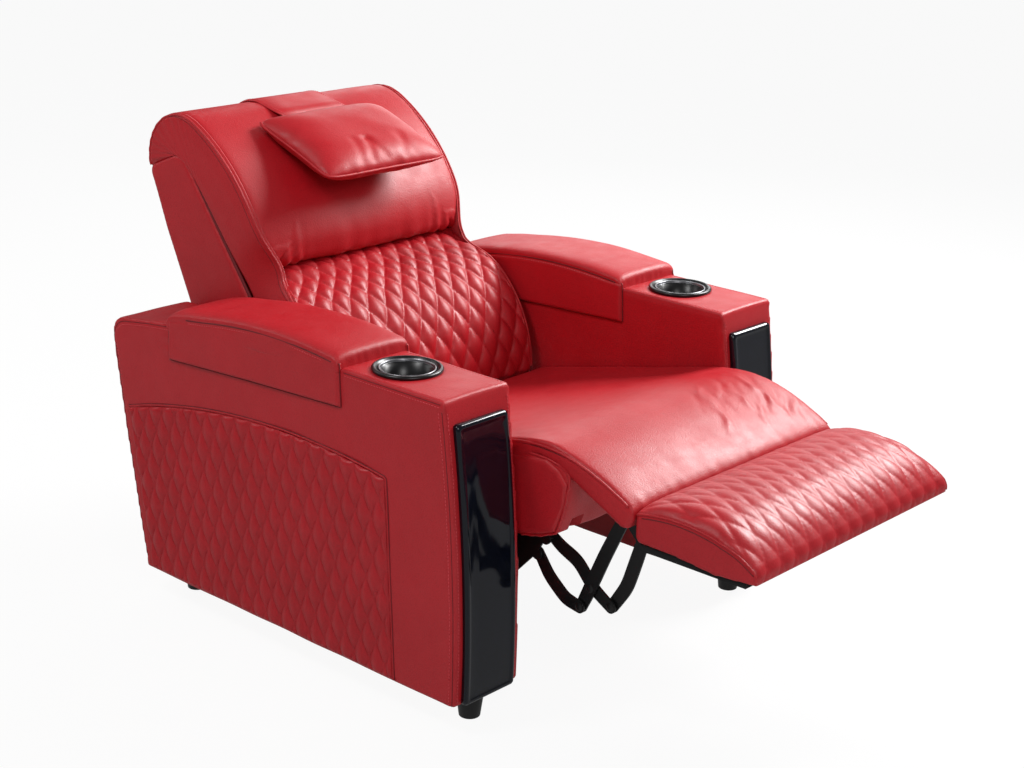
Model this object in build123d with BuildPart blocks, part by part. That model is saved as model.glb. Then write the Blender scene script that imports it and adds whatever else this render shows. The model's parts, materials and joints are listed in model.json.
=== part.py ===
"""Powered cinema recliner seat: two upholstered arms carry a seat that glides between them.

Millimetres, +Z up, the sitter faces -Y. The right-hand side of the sitter is -X.
The origin is on the floor, in the middle of the open chair's length and width.
Side outlines are (y, z) pairs: y runs back from the top front edge of the arms.
"""
import os
from math import acos, atan2, cos, degrees, radians, sin

from build123d import *

os.makedirs("parts", exist_ok=True)

# ------------------------------------------------------------------ driving sizes
# Arms
ARM_INNER = 303.6        # half of the gap between the two arms
ARM_WIDTH = 163.4        # over the leather, without the quilted panel
ARM_HEIGHT = 597.0       # floor to the flat deck with the cup holder
ARM_LENGTH = 799.0       # along the bottom edge
ARM_TOE = 41.0           # how far the bowed front comes forward at the bottom
ARM_BOW = 13.0           # bow of the front between its two ends
ARM_LEAN = 87.0          # how far the rear end leans back
ARM_REAR_DROP = 49.0     # fall of the top from the deck to the rear end
REAR_CORNER_R = 45.0
FRONT_EDGE_R = 9.0
COVER_THICK = 10.0       # leather and foam over the boards
BOARD_FIT = 0.3          # between the boards and the foam over them
BOARD = 18.0             # plywood
PROUD = 3.0              # quilted panel and pad flaps over the arm's leather
FOOT_HEIGHT = 53.0
FOOT_TOP_R = 26.0
FOOT_TIP_R = 19.0
FOOT_FRONT_Y = -4.0
FOOT_REAR_Y = 745.0
STUD_R = 4.0
STUD_FIT = 0.2
# Arm pad
PAD_FRONT_Y = 240.0
PAD_LENGTH = 474.0
PAD_HEIGHT = 32.0        # crown of the pad over the deck
FLAP_FRONT_DROP = 69.0   # flap's lower edge under the deck, front and rear
FLAP_REAR_DROP = 93.0
# Front plate
PLATE_BORDER = 19.0
PLATE_TOP_DROP = 41.0
PLATE_THICK = 11.0
PLATE_EDGE_R = 4.0
# Cup holder
CUP_Y = 162.0
CUP_R = 42.0             # inside of the bowl
CUP_DEPTH = 62.0
CUP_WALL = 3.0
CUP_FLANGE_R = 62.3
RING_R = 58.0
RING_HEIGHT = 6.0
RING_LIP = 3.0           # inner edge of the ring, outside the bowl's bore
CUP_FIT = 0.3            # clearance of the bowl in the arm, all round
# Quilted outer panel
QUILT_FRONT_Y = 106.0
QUILT_TOP_FRONT = 427.0
QUILT_TOP_REAR = 376.0
QUILT_RISE = 40.0
QUILT_REAR_MARGIN = 30.0
# Seat
SEAT_GAP = 4.6           # each side, between the seat and the arms
SEAT_TOP = 500.0         # seat surface above the floor, at the front
SEAT_NOSE = 20.0         # where the flat seat surface starts, ahead of the arms' front
SEAT_DEPTH = 446.0
SEAT_REAR = SEAT_DEPTH - SEAT_NOSE
SEAT_DROP = 107.0        # fall of the seat surface to the rear
SEAT_THICK = 114.0
SEAM_GAP = 0.3           # between cushions that lie against each other
TOP_PAD = 26.0           # leather and foam layer that runs on over the footrest's hinge
RAIL_WOOD = 22.0
FRAME_DEPTH = 30.0
# Footrest
CHAISE_HINGE = (-117.0, 453.0)
CHAISE_R = 46.3          # hinge to the upper face of the pad
CHAISE_SLOPE = 23.7      # degrees under the horizontal
CREASE = (-273.0, 432.0)
CREASE_GAP = 1.5
FOOTREST_LENGTH = 243.0
FOOTREST_BELLY = 24.0
FOOTREST_HALF_WIDTH = 295.0
FOOTREST_BOARD = 12.0
FOOTREST_SIDE = 42.0     # height of its side at the crease
# Steel mechanism
PLATE_T = 4.0            # links, brackets and side plates
LAYER = 6.0              # pitch of the links, side by side
SIDE_PLATE_X = 260.0     # inner face of the seat's side plates
PIN_R = 5.0
HEAD_R = 8.0
HEAD_T = 1.2
LINK_W = 18.0
RUN_GAP = 0.05           # radial clearance of a turning pin
OPEN_GAP = 1.2           # radial clearance of a pin that closes the linkage
FACE_GAP = 0.4           # between a rivet head and the link that turns under it
PIVOT_FRONT = (-59.4, 316.0)
PIVOT_REAR = (-40.2, 282.1)
KNEE_REAR = (-136.1, 209.7)
KNEE_FRONT = (-195.0, 225.0)
CROSSING = (-153.5, 248.8)
BRACKET_REAR = (-218.0, 394.0)
BRACKET_FRONT = (-256.0, 376.0)
# Glide
GLIDE_TRAVEL = 120.0
RAIL_FRONT_Y = 22.0
RAIL_LENGTH = 540.0
RAIL_BOTTOM = 190.0
RAIL_HEIGHT = 36.0
RAIL_WIDTH = 35.6
RAIL_WALL = 3.0
ROLLER_R = 14.6
ROLLER_WIDTH = 20.0
AXLE_R = 5.0
ROLLER_BORE_R = AXLE_R + 0.05
TUBE = 30.0              # square cross tubes
TUBE_WALL = 2.0
TUBE_FRONT_Y = 215.0
TUBE_REAR_Y = 535.0
# Back
BACK_PIVOT = (SEAT_REAR + 74, 340.0)
BACK_HALF = 283.0
BACK_PIN_R = 6.0
GROOVE_FOOT = (SEAT_REAR + 134, 412.0)   # line between the cushions and the rear shell
GROOVE_TOP = (SEAT_REAR + 466, 842.0)
LUMBAR_FOOT = (SEAT_REAR + 29, 386.0)
LUMBAR_BELLY = (SEAT_REAR + 79, 537.0)
LUMBAR_TOP = (SEAT_REAR + 216, 635.0)
HEAD_FOOT = (SEAT_REAR + 222, 659.0)
HEAD_ROLL = (SEAT_REAR + 478, 823.0)     # centre of the roll along the top
HEAD_ROLL_R = 97.5
HEAD_HINGE = (SEAT_REAR + 264, 651.0)
HINGE_ROD_R = 5.0
HINGE_CHANNEL = 12.0
SHELL_WALL = 12.0
SHELL_GAP = 1.0
STILE = 24.0
STILE_DEPTH = 40.0
LEVER = 112.0            # back pivot to the actuator's pin
LEVER_LEAN = 5.0         # degrees from upright at rest
LEVER_PIN_R = 5.0
# Pillow
PILLOW_HALF = 161.0
PILLOW_REAR = (SEAT_REAR + 386, 903.0)
PILLOW_LENGTH = 226.0
PILLOW_RISE = 32.0       # bulge over and under the seam
PILLOW_BELLY = 41.5
PILLOW_TILT = 20.5
STRAP_HALF = 86.0
STRAP_T = 4.0
STRAP_GAP = 1.0          # between the strap's end and the pillow's rear seam
# Controls
SWITCH_Y = 128.0
SWITCH_DROP = 57.0       # from the deck down to the row of buttons
SWITCH_LENGTH = 96.0
SWITCH_HEIGHT = 30.0
SWITCH_T = 3.0
BUTTON_R = 7.5
BUTTON_PITCH = 21.0
BUTTON_HEIGHT = 4.0
BUTTON_GAP = 0.4
BUTTON_TRAVEL = 1.5

# ------------------------------------------------------------------ worked out
ARM_OUTER = ARM_INNER + ARM_WIDTH
ARM_MID = ARM_INNER + ARM_WIDTH / 2
REAR_REACH = HEAD_ROLL[0] + HEAD_ROLL_R + SEAM_GAP + STRAP_T
FRONT_REACH = -CREASE[0] + FOOTREST_LENGTH + 2
FRONT = (FRONT_REACH - REAR_REACH) / 2
SEAT_HALF = ARM_INNER - SEAT_GAP
SWITCH_Z = ARM_HEIGHT - SWITCH_DROP
SIDES = {"left": 1, "right": -1}
LINK_X = [SIDE_PLATE_X - LAYER * n for n in (1, 2, 3, 4)]


def side(x):
    """Plane of a side outline: its sketch holds (y, z) pairs, and it faces +X."""
    return Plane(origin=(x, FRONT, 0), x_dir=(0, 1, 0), z_dir=(1, 0, 0))


def across(y):
    """Upright plane across the chair at y; its sketch holds (x, z) and it faces -Y."""
    return Plane(origin=(0, FRONT + y, 0), x_dir=(1, 0, 0), z_dir=(0, -1, 0))


def keep(part, name):
    part.label = name
    export_step(part, f"parts/{name}.step")


def along(start, angle, distance):
    """Point at a distance from start; the angle is in degrees up from +Y."""
    return (start[0] + distance * cos(radians(angle)), start[1] + distance * sin(radians(angle)))


def bar(x, a, b, width=LINK_W, thick=PLATE_T):
    """Flat link with round ends, from a to b, inner face at x, growing to +X."""
    slope = degrees(atan2(b[1] - a[1], b[0] - a[0]))
    length = ((b[0] - a[0]) ** 2 + (b[1] - a[1]) ** 2) ** 0.5
    with BuildSketch(side(x)) as outline:
        with Locations(((a[0] + b[0]) / 2, (a[1] + b[1]) / 2)):
            SlotCenterToCenter(length, width, rotation=slope)
    extrude(outline.sketch, amount=thick)


def rod(x, centre, radius, length, mode=Mode.ADD):
    """Round rod along +X from x."""
    with BuildSketch(side(x)) as disc:
        with Locations(centre):
            Circle(radius)
    extrude(disc.sketch, amount=length, mode=mode)


def block(low, high, mode=Mode.ADD):
    """Box between two corners; y is measured from the arms' front."""
    middle = [(a + b) / 2 for a, b in zip(low, high)]
    with Locations((middle[0], FRONT + middle[1], middle[2])):
        Box(*(b - a for a, b in zip(low, high)), mode=mode)


def both_sides():
    """Mirror what is built on +X over to -X."""
    mirror(about=Plane.YZ)


def keep_pair(part, name):
    """The left-hand piece and its mirror image on the right."""
    keep(part, f"{name}_left")
    keep(mirror(part, about=Plane.YZ), f"{name}_right")


# ------------------------------------------------------------------ arms
BOW_Z = FOOT_HEIGHT + (ARM_HEIGHT - FOOT_HEIGHT) / 2
BOW_POINTS = ((0, ARM_HEIGHT), (-ARM_TOE / 2 - ARM_BOW, BOW_Z), (-ARM_TOE, FOOT_HEIGHT))
ARM_REAR_TOP = ARM_HEIGHT - ARM_REAR_DROP
PAD_REAR_Y = PAD_FRONT_Y + PAD_LENGTH
PAD_REAR_Z = ARM_HEIGHT - 0.5 * ARM_REAR_DROP
UNDER = 20.0             # the cavity's sketch runs this far below the arm to open its bottom

# Side view of an arm: flat deck, bowed front, leaning and rounded rear end
with BuildSketch() as arm_outline:
    with BuildLine():
        ThreePointArc(*BOW_POINTS)
        Line(BOW_POINTS[2], (ARM_LENGTH, FOOT_HEIGHT))
        rear_edge = ThreePointArc(
            (ARM_LENGTH, FOOT_HEIGHT),
            (ARM_LENGTH + 0.68 * ARM_LEAN, FOOT_HEIGHT + 0.55 * (ARM_HEIGHT - FOOT_HEIGHT)),
            (ARM_LENGTH + ARM_LEAN, ARM_REAR_TOP - REAR_CORNER_R),
        )
        rear_top = FilletPolyline(
            rear_edge @ 1,
            (ARM_LENGTH + ARM_LEAN, ARM_REAR_TOP),
            (PAD_REAR_Y, PAD_REAR_Z),
            radius=0.9 * REAR_CORNER_R,
        )
        Polyline(rear_top @ 1, (PAD_FRONT_Y, ARM_HEIGHT), BOW_POINTS[0])
    make_face()

# Room inside the cover, open at the bottom
with BuildSketch() as arm_cavity:
    add(arm_outline.sketch)
    offset(amount=-COVER_THICK, mode=Mode.REPLACE)
    with Locations(((ARM_LENGTH - ARM_TOE) / 2, FOOT_HEIGHT + COVER_THICK + 1)):
        Rectangle(ARM_LENGTH + ARM_TOE - 2 * COVER_THICK, UNDER, align=(Align.CENTER, Align.MAX))

with BuildPart() as arm_cover:
    with BuildSketch(side(ARM_INNER)):
        add(arm_outline.sketch)
    extrude(amount=ARM_WIDTH)
    front_edge = arm_cover.edges().filter_by(Axis.X).filter_by_position(Axis.Z, ARM_HEIGHT - 1, ARM_HEIGHT + 1)
    fillet(front_edge.sort_by(Axis.Y)[0], FRONT_EDGE_R)
    with BuildSketch(side(ARM_INNER + COVER_THICK)):
        add(arm_cavity.sketch)
    extrude(amount=ARM_WIDTH - 2 * COVER_THICK, mode=Mode.SUBTRACT)
    with Locations((ARM_MID, FRONT + CUP_Y, ARM_HEIGHT)):
        Cylinder(CUP_R + CUP_WALL + CUP_FIT, 3 * COVER_THICK, mode=Mode.SUBTRACT)
keep_pair(arm_cover.part, "arm_cover")

# Plywood carcass: inner panel, bottom, top and two posts
board_near = ARM_INNER + COVER_THICK + BOARD_FIT + BOARD
board_far = ARM_INNER + ARM_WIDTH - COVER_THICK - BOARD_FIT
board_top = ARM_HEIGHT - COVER_THICK - BOARD_FIT
board_toe = COVER_THICK + BOARD_FIT - ARM_TOE + 4
board_front = COVER_THICK + 6
board_rear = ARM_LENGTH - 2 * COVER_THICK
with BuildPart() as arm_frame:
    with BuildSketch(side(ARM_INNER + COVER_THICK + BOARD_FIT)):
        add(arm_cavity.sketch)
        offset(amount=-BOARD_FIT, mode=Mode.REPLACE)
        with Locations((0, FOOT_HEIGHT)):
            Rectangle(4 * ARM_LENGTH, 2 * UNDER, align=(Align.CENTER, Align.MAX), mode=Mode.SUBTRACT)
    extrude(amount=BOARD)
    block((board_near, board_toe, FOOT_HEIGHT), (board_far, board_rear, FOOT_HEIGHT + BOARD))
    block((board_near, board_front, board_top - BOARD), (board_far, PAD_FRONT_Y, board_top))
    block((board_near, board_front, FOOT_HEIGHT + BOARD), (board_far, board_front + BOARD, board_top - BOARD))
    block((board_near, board_rear - BOARD, FOOT_HEIGHT + BOARD),
          (board_far, board_rear, ARM_REAR_TOP - COVER_THICK))
    with Locations((ARM_MID, FRONT + CUP_Y, board_top)):
        Cylinder(CUP_R + CUP_WALL + CUP_FIT, 3 * BOARD, mode=Mode.SUBTRACT)
    with Locations(*((ARM_MID, FRONT + y, FOOT_HEIGHT) for y in (FOOT_FRONT_Y, FOOT_REAR_Y))):
        Cylinder(STUD_R + STUD_FIT, 3 * BOARD, mode=Mode.SUBTRACT)
keep_pair(arm_frame.part, "arm_frame")

# Crowned armrest with a flap down each side of the arm
with BuildPart() as arm_pad:
    with BuildSketch(side(ARM_INNER - PROUD)):
        with BuildLine():
            crown = ThreePointArc(
                (PAD_FRONT_Y + 6, ARM_HEIGHT + 0.72 * PAD_HEIGHT),
                (PAD_FRONT_Y + 0.3 * PAD_LENGTH, ARM_HEIGHT + PAD_HEIGHT),
                (PAD_REAR_Y, PAD_REAR_Z + 0.6 * PAD_HEIGHT),
            )
            Polyline(
                crown @ 1,
                (PAD_REAR_Y - 6, ARM_HEIGHT - FLAP_REAR_DROP),
                (PAD_FRONT_Y, ARM_HEIGHT - FLAP_FRONT_DROP),
                (PAD_FRONT_Y - 2, ARM_HEIGHT),
                crown @ 0,
            )
        make_face()
    extrude(amount=ARM_WIDTH + 2 * PROUD)
    fillet(arm_pad.edges().filter_by(GeomType.CIRCLE), 8)
    with BuildSketch(side(ARM_INNER)):
        add(arm_outline.sketch)
    extrude(amount=ARM_WIDTH, mode=Mode.SUBTRACT)
keep_pair(arm_pad.part, "arm_pad")

# Quilted outer panel with an arched top
quilt_rear = ARM_LENGTH - QUILT_REAR_MARGIN
quilt_lean = 1.35 * ARM_LEAN * (QUILT_TOP_REAR - FOOT_HEIGHT) / (ARM_HEIGHT - FOOT_HEIGHT)
quilt_corners = ((QUILT_FRONT_Y + 27, QUILT_TOP_FRONT), (quilt_rear + quilt_lean, QUILT_TOP_REAR))
with BuildPart() as arm_quilt:
    with BuildSketch(side(ARM_INNER + ARM_WIDTH)):
        with BuildLine():
            arch = ThreePointArc(
                quilt_corners[0],
                ((quilt_corners[0][0] + quilt_corners[1][0]) / 2,
                 (QUILT_TOP_FRONT + QUILT_TOP_REAR) / 2 + QUILT_RISE),
                quilt_corners[1],
            )
            Polyline(arch @ 1, (quilt_rear, FOOT_HEIGHT + 5), (QUILT_FRONT_Y, FOOT_HEIGHT + 5), arch @ 0)
        make_face()
    extrude(amount=PROUD)
keep_pair(arm_quilt.part, "arm_quilt")

# Black lacquered plate that follows the bow of the arm's front
plate_top = ARM_HEIGHT - PLATE_TOP_DROP
with BuildPart() as front_plate:
    with BuildSketch(side(ARM_INNER + PLATE_BORDER)):
        with BuildLine():
            bow = ThreePointArc(*BOW_POINTS)
            Polyline(bow @ 1, (bow @ 1) - (2 * PLATE_THICK, 0), (bow @ 0) - (2 * PLATE_THICK + ARM_TOE, 0), bow @ 0)
        make_face()
        with BuildLine(mode=Mode.PRIVATE) as outer:
            ThreePointArc(*((y - PLATE_THICK, z) for y, z in BOW_POINTS))
        with BuildLine():
            add(outer.line)
            Polyline(outer.line @ 1, (-9 * ARM_TOE, FOOT_HEIGHT), (-9 * ARM_TOE, ARM_HEIGHT), outer.line @ 0)
        make_face(mode=Mode.SUBTRACT)
        with Locations((0, FOOT_HEIGHT + 2)):
            Rectangle(9 * ARM_TOE, plate_top - FOOT_HEIGHT - 2, align=(Align.CENTER, Align.MIN),
                      mode=Mode.INTERSECT)
    extrude(amount=ARM_WIDTH - 2 * PLATE_BORDER)
    fillet(front_plate.faces().sort_by(Axis.Y)[0].edges(), PLATE_EDGE_R)
keep_pair(front_plate.part, "front_plate")

cup_axis = Axis((ARM_MID, FRONT + CUP_Y, 0), (0, 0, 1))


def cup_plane(z):
    """Upright plane through the cup holder's axis: its sketch holds (radius, height)."""
    return Plane(origin=(ARM_MID, FRONT + CUP_Y, z), x_dir=(1, 0, 0), z_dir=(0, -1, 0))


# Moulded bowl with a flange that sits on the deck
with BuildPart() as cup_bowl:
    with BuildSketch(cup_plane(ARM_HEIGHT)):
        with BuildLine():
            Polyline(
                (0, -CUP_DEPTH),
                (CUP_R, -CUP_DEPTH),
                (CUP_R, CUP_WALL),
                (CUP_FLANGE_R, CUP_WALL),
                (CUP_FLANGE_R, 0),
                (CUP_R + CUP_WALL, 0),
                (CUP_R + CUP_WALL, -CUP_DEPTH - CUP_WALL),
                (0, -CUP_DEPTH - CUP_WALL),
                close=True,
            )
        make_face()
    revolve(axis=cup_axis)
keep_pair(cup_bowl.part, "cup_bowl")

# Metal trim ring on the bowl's flange, with a chamfer down to the mouth
ring_inner = CUP_R + RING_LIP
with BuildPart() as cup_ring:
    with BuildSketch(cup_plane(ARM_HEIGHT + CUP_WALL)):
        with BuildLine():
            Polyline(
                (ring_inner, 0),
                (RING_R, 0),
                (RING_R, RING_HEIGHT * 0.5),
                (RING_R - RING_HEIGHT * 0.5, RING_HEIGHT),
                (ring_inner + RING_HEIGHT, RING_HEIGHT),
                (ring_inner, RING_HEIGHT * 0.3),
                close=True,
            )
        make_face()
    revolve(axis=cup_axis)
keep_pair(cup_ring.part, "cup_ring")

foot_places = [(s * ARM_MID, FRONT + y, 0) for s in SIDES.values() for y in (FOOT_FRONT_Y, FOOT_REAR_Y)]

with BuildPart() as feet:
    with Locations(*foot_places):
        Cone(FOOT_TIP_R, FOOT_TOP_R, FOOT_HEIGHT, align=(Align.CENTER, Align.CENTER, Align.MIN))
    fillet(feet.edges().filter_by(GeomType.CIRCLE).group_by(Axis.Z)[0], 2)
    with Locations(*((x, y, FOOT_HEIGHT / 2) for x, y, z in foot_places)):
        Cylinder(STUD_R + STUD_FIT, FOOT_HEIGHT, align=(Align.CENTER, Align.CENTER, Align.MIN), mode=Mode.SUBTRACT)
keep(feet.part, "feet")

with BuildPart() as foot_studs:
    with Locations(*((x, y, FOOT_HEIGHT / 2) for x, y, z in foot_places)):
        Cylinder(STUD_R, FOOT_HEIGHT / 2 + BOARD + 4, align=(Align.CENTER, Align.CENTER, Align.MIN))
    with Locations(*((x, y, FOOT_HEIGHT + BOARD) for x, y, z in foot_places)):
        Cylinder(2 * STUD_R, 4, align=(Align.CENTER, Align.CENTER, Align.MIN))
keep(foot_studs.part, "foot_studs")

# ------------------------------------------------------------------ base steelwork
rail_rear_y = RAIL_FRONT_Y + RAIL_LENGTH
with BuildPart() as glide_rails:
    block((ARM_INNER - RAIL_WIDTH, RAIL_FRONT_Y, RAIL_BOTTOM), (ARM_INNER, rail_rear_y, RAIL_BOTTOM + RAIL_HEIGHT))
    block((ARM_INNER - RAIL_WIDTH - 1, RAIL_FRONT_Y - 1, RAIL_BOTTOM + RAIL_WALL),
          (ARM_INNER - RAIL_WALL, rail_rear_y + 1, RAIL_BOTTOM + RAIL_HEIGHT - RAIL_WALL), mode=Mode.SUBTRACT)
    both_sides()
keep(glide_rails.part, "glide_rails")

with BuildPart() as cross_tubes:
    for tube_y in (TUBE_FRONT_Y, TUBE_REAR_Y):
        block((-ARM_INNER, tube_y, RAIL_BOTTOM - TUBE), (ARM_INNER, tube_y + TUBE, RAIL_BOTTOM))
        block((-ARM_INNER - 1, tube_y + TUBE_WALL, RAIL_BOTTOM - TUBE + TUBE_WALL),
              (ARM_INNER + 1, tube_y + TUBE - TUBE_WALL, RAIL_BOTTOM - TUBE_WALL), mode=Mode.SUBTRACT)
keep(cross_tubes.part, "cross_tubes")

APRON_TOP = 215.0
with BuildPart() as rear_apron:
    block((-ARM_INNER, ARM_LENGTH - 2 * COVER_THICK - BOARD, FOOT_HEIGHT + 2),
          (ARM_INNER, ARM_LENGTH - 2 * COVER_THICK, APRON_TOP))
keep(rear_apron.part, "rear_apron")

# Glide actuator: the motor and tube stay on the base, the rod pulls the seat.
DRIVE_X = 0.0
DRIVE_Z = BACK_PIVOT[1] - LEVER
DRIVE_TUBE_R = 15.0
DRIVE_ROD_R = 8.0
DRIVE_TUBE_REAR = 590.0
DRIVE_TUBE_LENGTH = 230.0
DRIVE_TUBE_FRONT = DRIVE_TUBE_REAR - DRIVE_TUBE_LENGTH
GEARBOX_REAR = 10.0      # gearbox ends this far ahead of the tube's rear end
GEARBOX_LENGTH = 60.0
GEARBOX_INNER = 30.0     # gearbox beside the tube's axis, and below it
GEARBOX_OUTER = 62.0
GEARBOX_DROP = 26.0
MOTOR_R = 20.0
MOTOR_LENGTH = 95.0
MOTOR_SIDE = 40.0        # motor's axis beside and below the tube's
MOTOR_DROP = 6.0
SADDLE_HALF = 20.0
ROD_FIT = 0.5
SHAFT_Y = 200.0          # seat's cross shaft that the rod pulls on
SHAFT_R = 10.0
ROD_HELD = 60.0          # rod inside the tube when the seat is forward
ROD_END = DRIVE_TUBE_FRONT + ROD_HELD         # inner end of the rod when the seat is forward
with BuildPart() as glide_actuator:
    with BuildSketch(across(DRIVE_TUBE_REAR)):
        with Locations((DRIVE_X, DRIVE_Z)):
            Circle(DRIVE_TUBE_R)
    extrude(amount=DRIVE_TUBE_REAR - DRIVE_TUBE_FRONT)
    gearbox_rear = DRIVE_TUBE_REAR - GEARBOX_REAR
    gearbox_front = gearbox_rear - GEARBOX_LENGTH
    block((DRIVE_X - GEARBOX_INNER, gearbox_front, DRIVE_Z - GEARBOX_DROP),
          (DRIVE_X + GEARBOX_OUTER, gearbox_rear, DRIVE_Z + DRIVE_TUBE_R))
    with BuildSketch(across(gearbox_front)):
        with Locations((DRIVE_X + MOTOR_SIDE, DRIVE_Z - MOTOR_DROP)):
            Circle(MOTOR_R)
    extrude(amount=MOTOR_LENGTH)
    block((DRIVE_X - SADDLE_HALF, TUBE_REAR_Y, RAIL_BOTTOM),
          (DRIVE_X + SADDLE_HALF, TUBE_REAR_Y + TUBE, DRIVE_Z - DRIVE_TUBE_R))
    with BuildSketch(across(ROD_END + GLIDE_TRAVEL + 5)):
        with Locations((DRIVE_X, DRIVE_Z)):
            Circle(DRIVE_ROD_R + ROD_FIT)
    extrude(amount=DRIVE_TUBE_REAR, mode=Mode.SUBTRACT)
keep(glide_actuator.part, "glide_actuator")

BOX_INNER = 40.0         # control box hangs under the rear cross tube, beside the middle
BOX_WIDTH = 110.0
BOX_LENGTH = 90.0
BOX_HEIGHT = 42.0
BOX_AHEAD = 30.0
BOX_CORNER_R = 6.0
with BuildPart() as control_box:
    block((-BOX_INNER - BOX_WIDTH, TUBE_REAR_Y - BOX_AHEAD, RAIL_BOTTOM - TUBE - BOX_HEIGHT),
          (-BOX_INNER, TUBE_REAR_Y - BOX_AHEAD + BOX_LENGTH, RAIL_BOTTOM - TUBE))
    fillet(control_box.edges().filter_by(Axis.Z), BOX_CORNER_R)
keep(control_box.part, "control_box")

INLET_X = 120.0
INLET_Z = 120.0
INLET_HALF_WIDTH = 20.0
INLET_HALF_HEIGHT = 14.0
INLET_THICK = 8.0
INLET_CORNER_R = 4.0
SOCKET_R = 5.5
SOCKET_DEPTH = 6.0
apron_rear = ARM_LENGTH - 2 * COVER_THICK
with BuildPart() as power_inlet:
    block((INLET_X - INLET_HALF_WIDTH, apron_rear, INLET_Z - INLET_HALF_HEIGHT),
          (INLET_X + INLET_HALF_WIDTH, apron_rear + INLET_THICK, INLET_Z + INLET_HALF_HEIGHT))
    fillet(power_inlet.edges().filter_by(Axis.Y), INLET_CORNER_R)
    with BuildSketch(Plane(origin=(INLET_X, FRONT + apron_rear + INLET_THICK, INLET_Z),
                           x_dir=(-1, 0, 0), z_dir=(0, 1, 0))):
        Circle(SOCKET_R)
    extrude(amount=-SOCKET_DEPTH, mode=Mode.SUBTRACT)
keep(power_inlet.part, "power_inlet")

# ------------------------------------------------------------------ controls, sitter's right arm
SWITCH_FACE = -ARM_INNER + SWITCH_T
button_ys = [SWITCH_Y + BUTTON_PITCH * (n - 1.5) for n in range(4)]

with BuildPart() as switch_plate:
    with BuildSketch(side(-ARM_INNER)):
        with Locations((SWITCH_Y, SWITCH_Z)):
            RectangleRounded(SWITCH_LENGTH, SWITCH_HEIGHT, 10)
        with Locations(*((y, SWITCH_Z) for y in button_ys)):
            Circle(BUTTON_R + BUTTON_GAP, mode=Mode.SUBTRACT)
    extrude(amount=SWITCH_T)
keep(switch_plate.part, "switch_plate")

BUTTON_NAMES = ("footrest_out", "footrest_in", "back_down", "back_up")
for button_name, button_y in zip(BUTTON_NAMES, button_ys):
    with BuildPart() as button:
        rod(-ARM_INNER + BUTTON_TRAVEL + 0.3, (button_y, SWITCH_Z), BUTTON_R,
            SWITCH_T - BUTTON_TRAVEL - 0.3 + BUTTON_HEIGHT * 0.5)
        fillet(button.edges().filter_by(GeomType.CIRCLE).sort_by(Axis.X)[-1], 0.8)
    keep(button.part, f"button_{button_name}")

# ------------------------------------------------------------------ seat
seat_fall = SEAT_DROP / (SEAT_REAR + SEAT_NOSE)


def seat_top(y):
    return SEAT_TOP - seat_fall * (y + SEAT_NOSE)


def seat_bottom(y):
    return seat_top(y) - SEAT_THICK


ROLL_CLEAR = 1.3
ROLL_R = CHAISE_R - TOP_PAD - ROLL_CLEAR        # front roll's edge round the footrest hinge
ROLL_EDGE_END = 200      # degrees from +Y where that edge ends
ROLL_FACE = (-12, -43)   # the roll's lower face and bottom, from the footrest hinge
ROLL_FOOT = (6, -104)
ROLL_BOTTOM = (85, -128)
FRAME_FRONT = 18.0
up_angle = 90 + CHAISE_SLOPE            # square to the chaise pad, measured from +Y
pad_top_front = along(CHAISE_HINGE, up_angle, CHAISE_R)
pad_under_front = along(CHAISE_HINGE, up_angle, CHAISE_R - TOP_PAD)
HINGE_CLEAR = 0.6
NOSE_Y = -80.0           # crown of the seat's front edge
NOSE_TOP = SEAT_TOP + 7

# Side view of the padded roll that the seat's front edge rests on
with BuildSketch() as roll_outline:
    with BuildLine():
        crown = ThreePointArc(
            (FRAME_FRONT, seat_top(FRAME_FRONT) - TOP_PAD),
            (NOSE_Y, NOSE_TOP - TOP_PAD - SEAM_GAP),
            along(CHAISE_HINGE, up_angle, ROLL_R),
        )
        edge = RadiusArc(crown @ 1, along(CHAISE_HINGE, ROLL_EDGE_END, ROLL_R), -ROLL_R)
        Polyline(
            edge @ 1,
            *((CHAISE_HINGE[0] + y, CHAISE_HINGE[1] + z) for y, z in (ROLL_FACE, ROLL_FOOT, ROLL_BOTTOM)),
            (FRAME_FRONT, CHAISE_HINGE[1] + ROLL_BOTTOM[1]),
            crown @ 0,
        )
    make_face()

with BuildSketch() as roll_room:
    add(roll_outline.sketch)
    offset(amount=SEAM_GAP, mode=Mode.REPLACE)

SLOT_INNER = SIDE_PLATE_X - 4 * LAYER - 4
ROLL_SLOT_TOP = PIVOT_FRONT[1] + 60     # slots in the roll for the side plates and links
ROLL_SLOT_FLOOR = PIVOT_FRONT[1] - 20
with BuildPart() as seat_front_roll:
    with BuildSketch(side(-SEAT_HALF + 1)):
        add(roll_outline.sketch)
    extrude(amount=2 * SEAT_HALF - 2)
    for s in SIDES.values():
        xs = sorted((s * SLOT_INNER, s * (SIDE_PLATE_X + PLATE_T + 2)))
        block((xs[0], 2 * NOSE_Y, ROLL_SLOT_FLOOR), (xs[1], FRAME_FRONT + 1, ROLL_SLOT_TOP), mode=Mode.SUBTRACT)
keep(seat_front_roll.part, "seat_front_roll")

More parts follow.
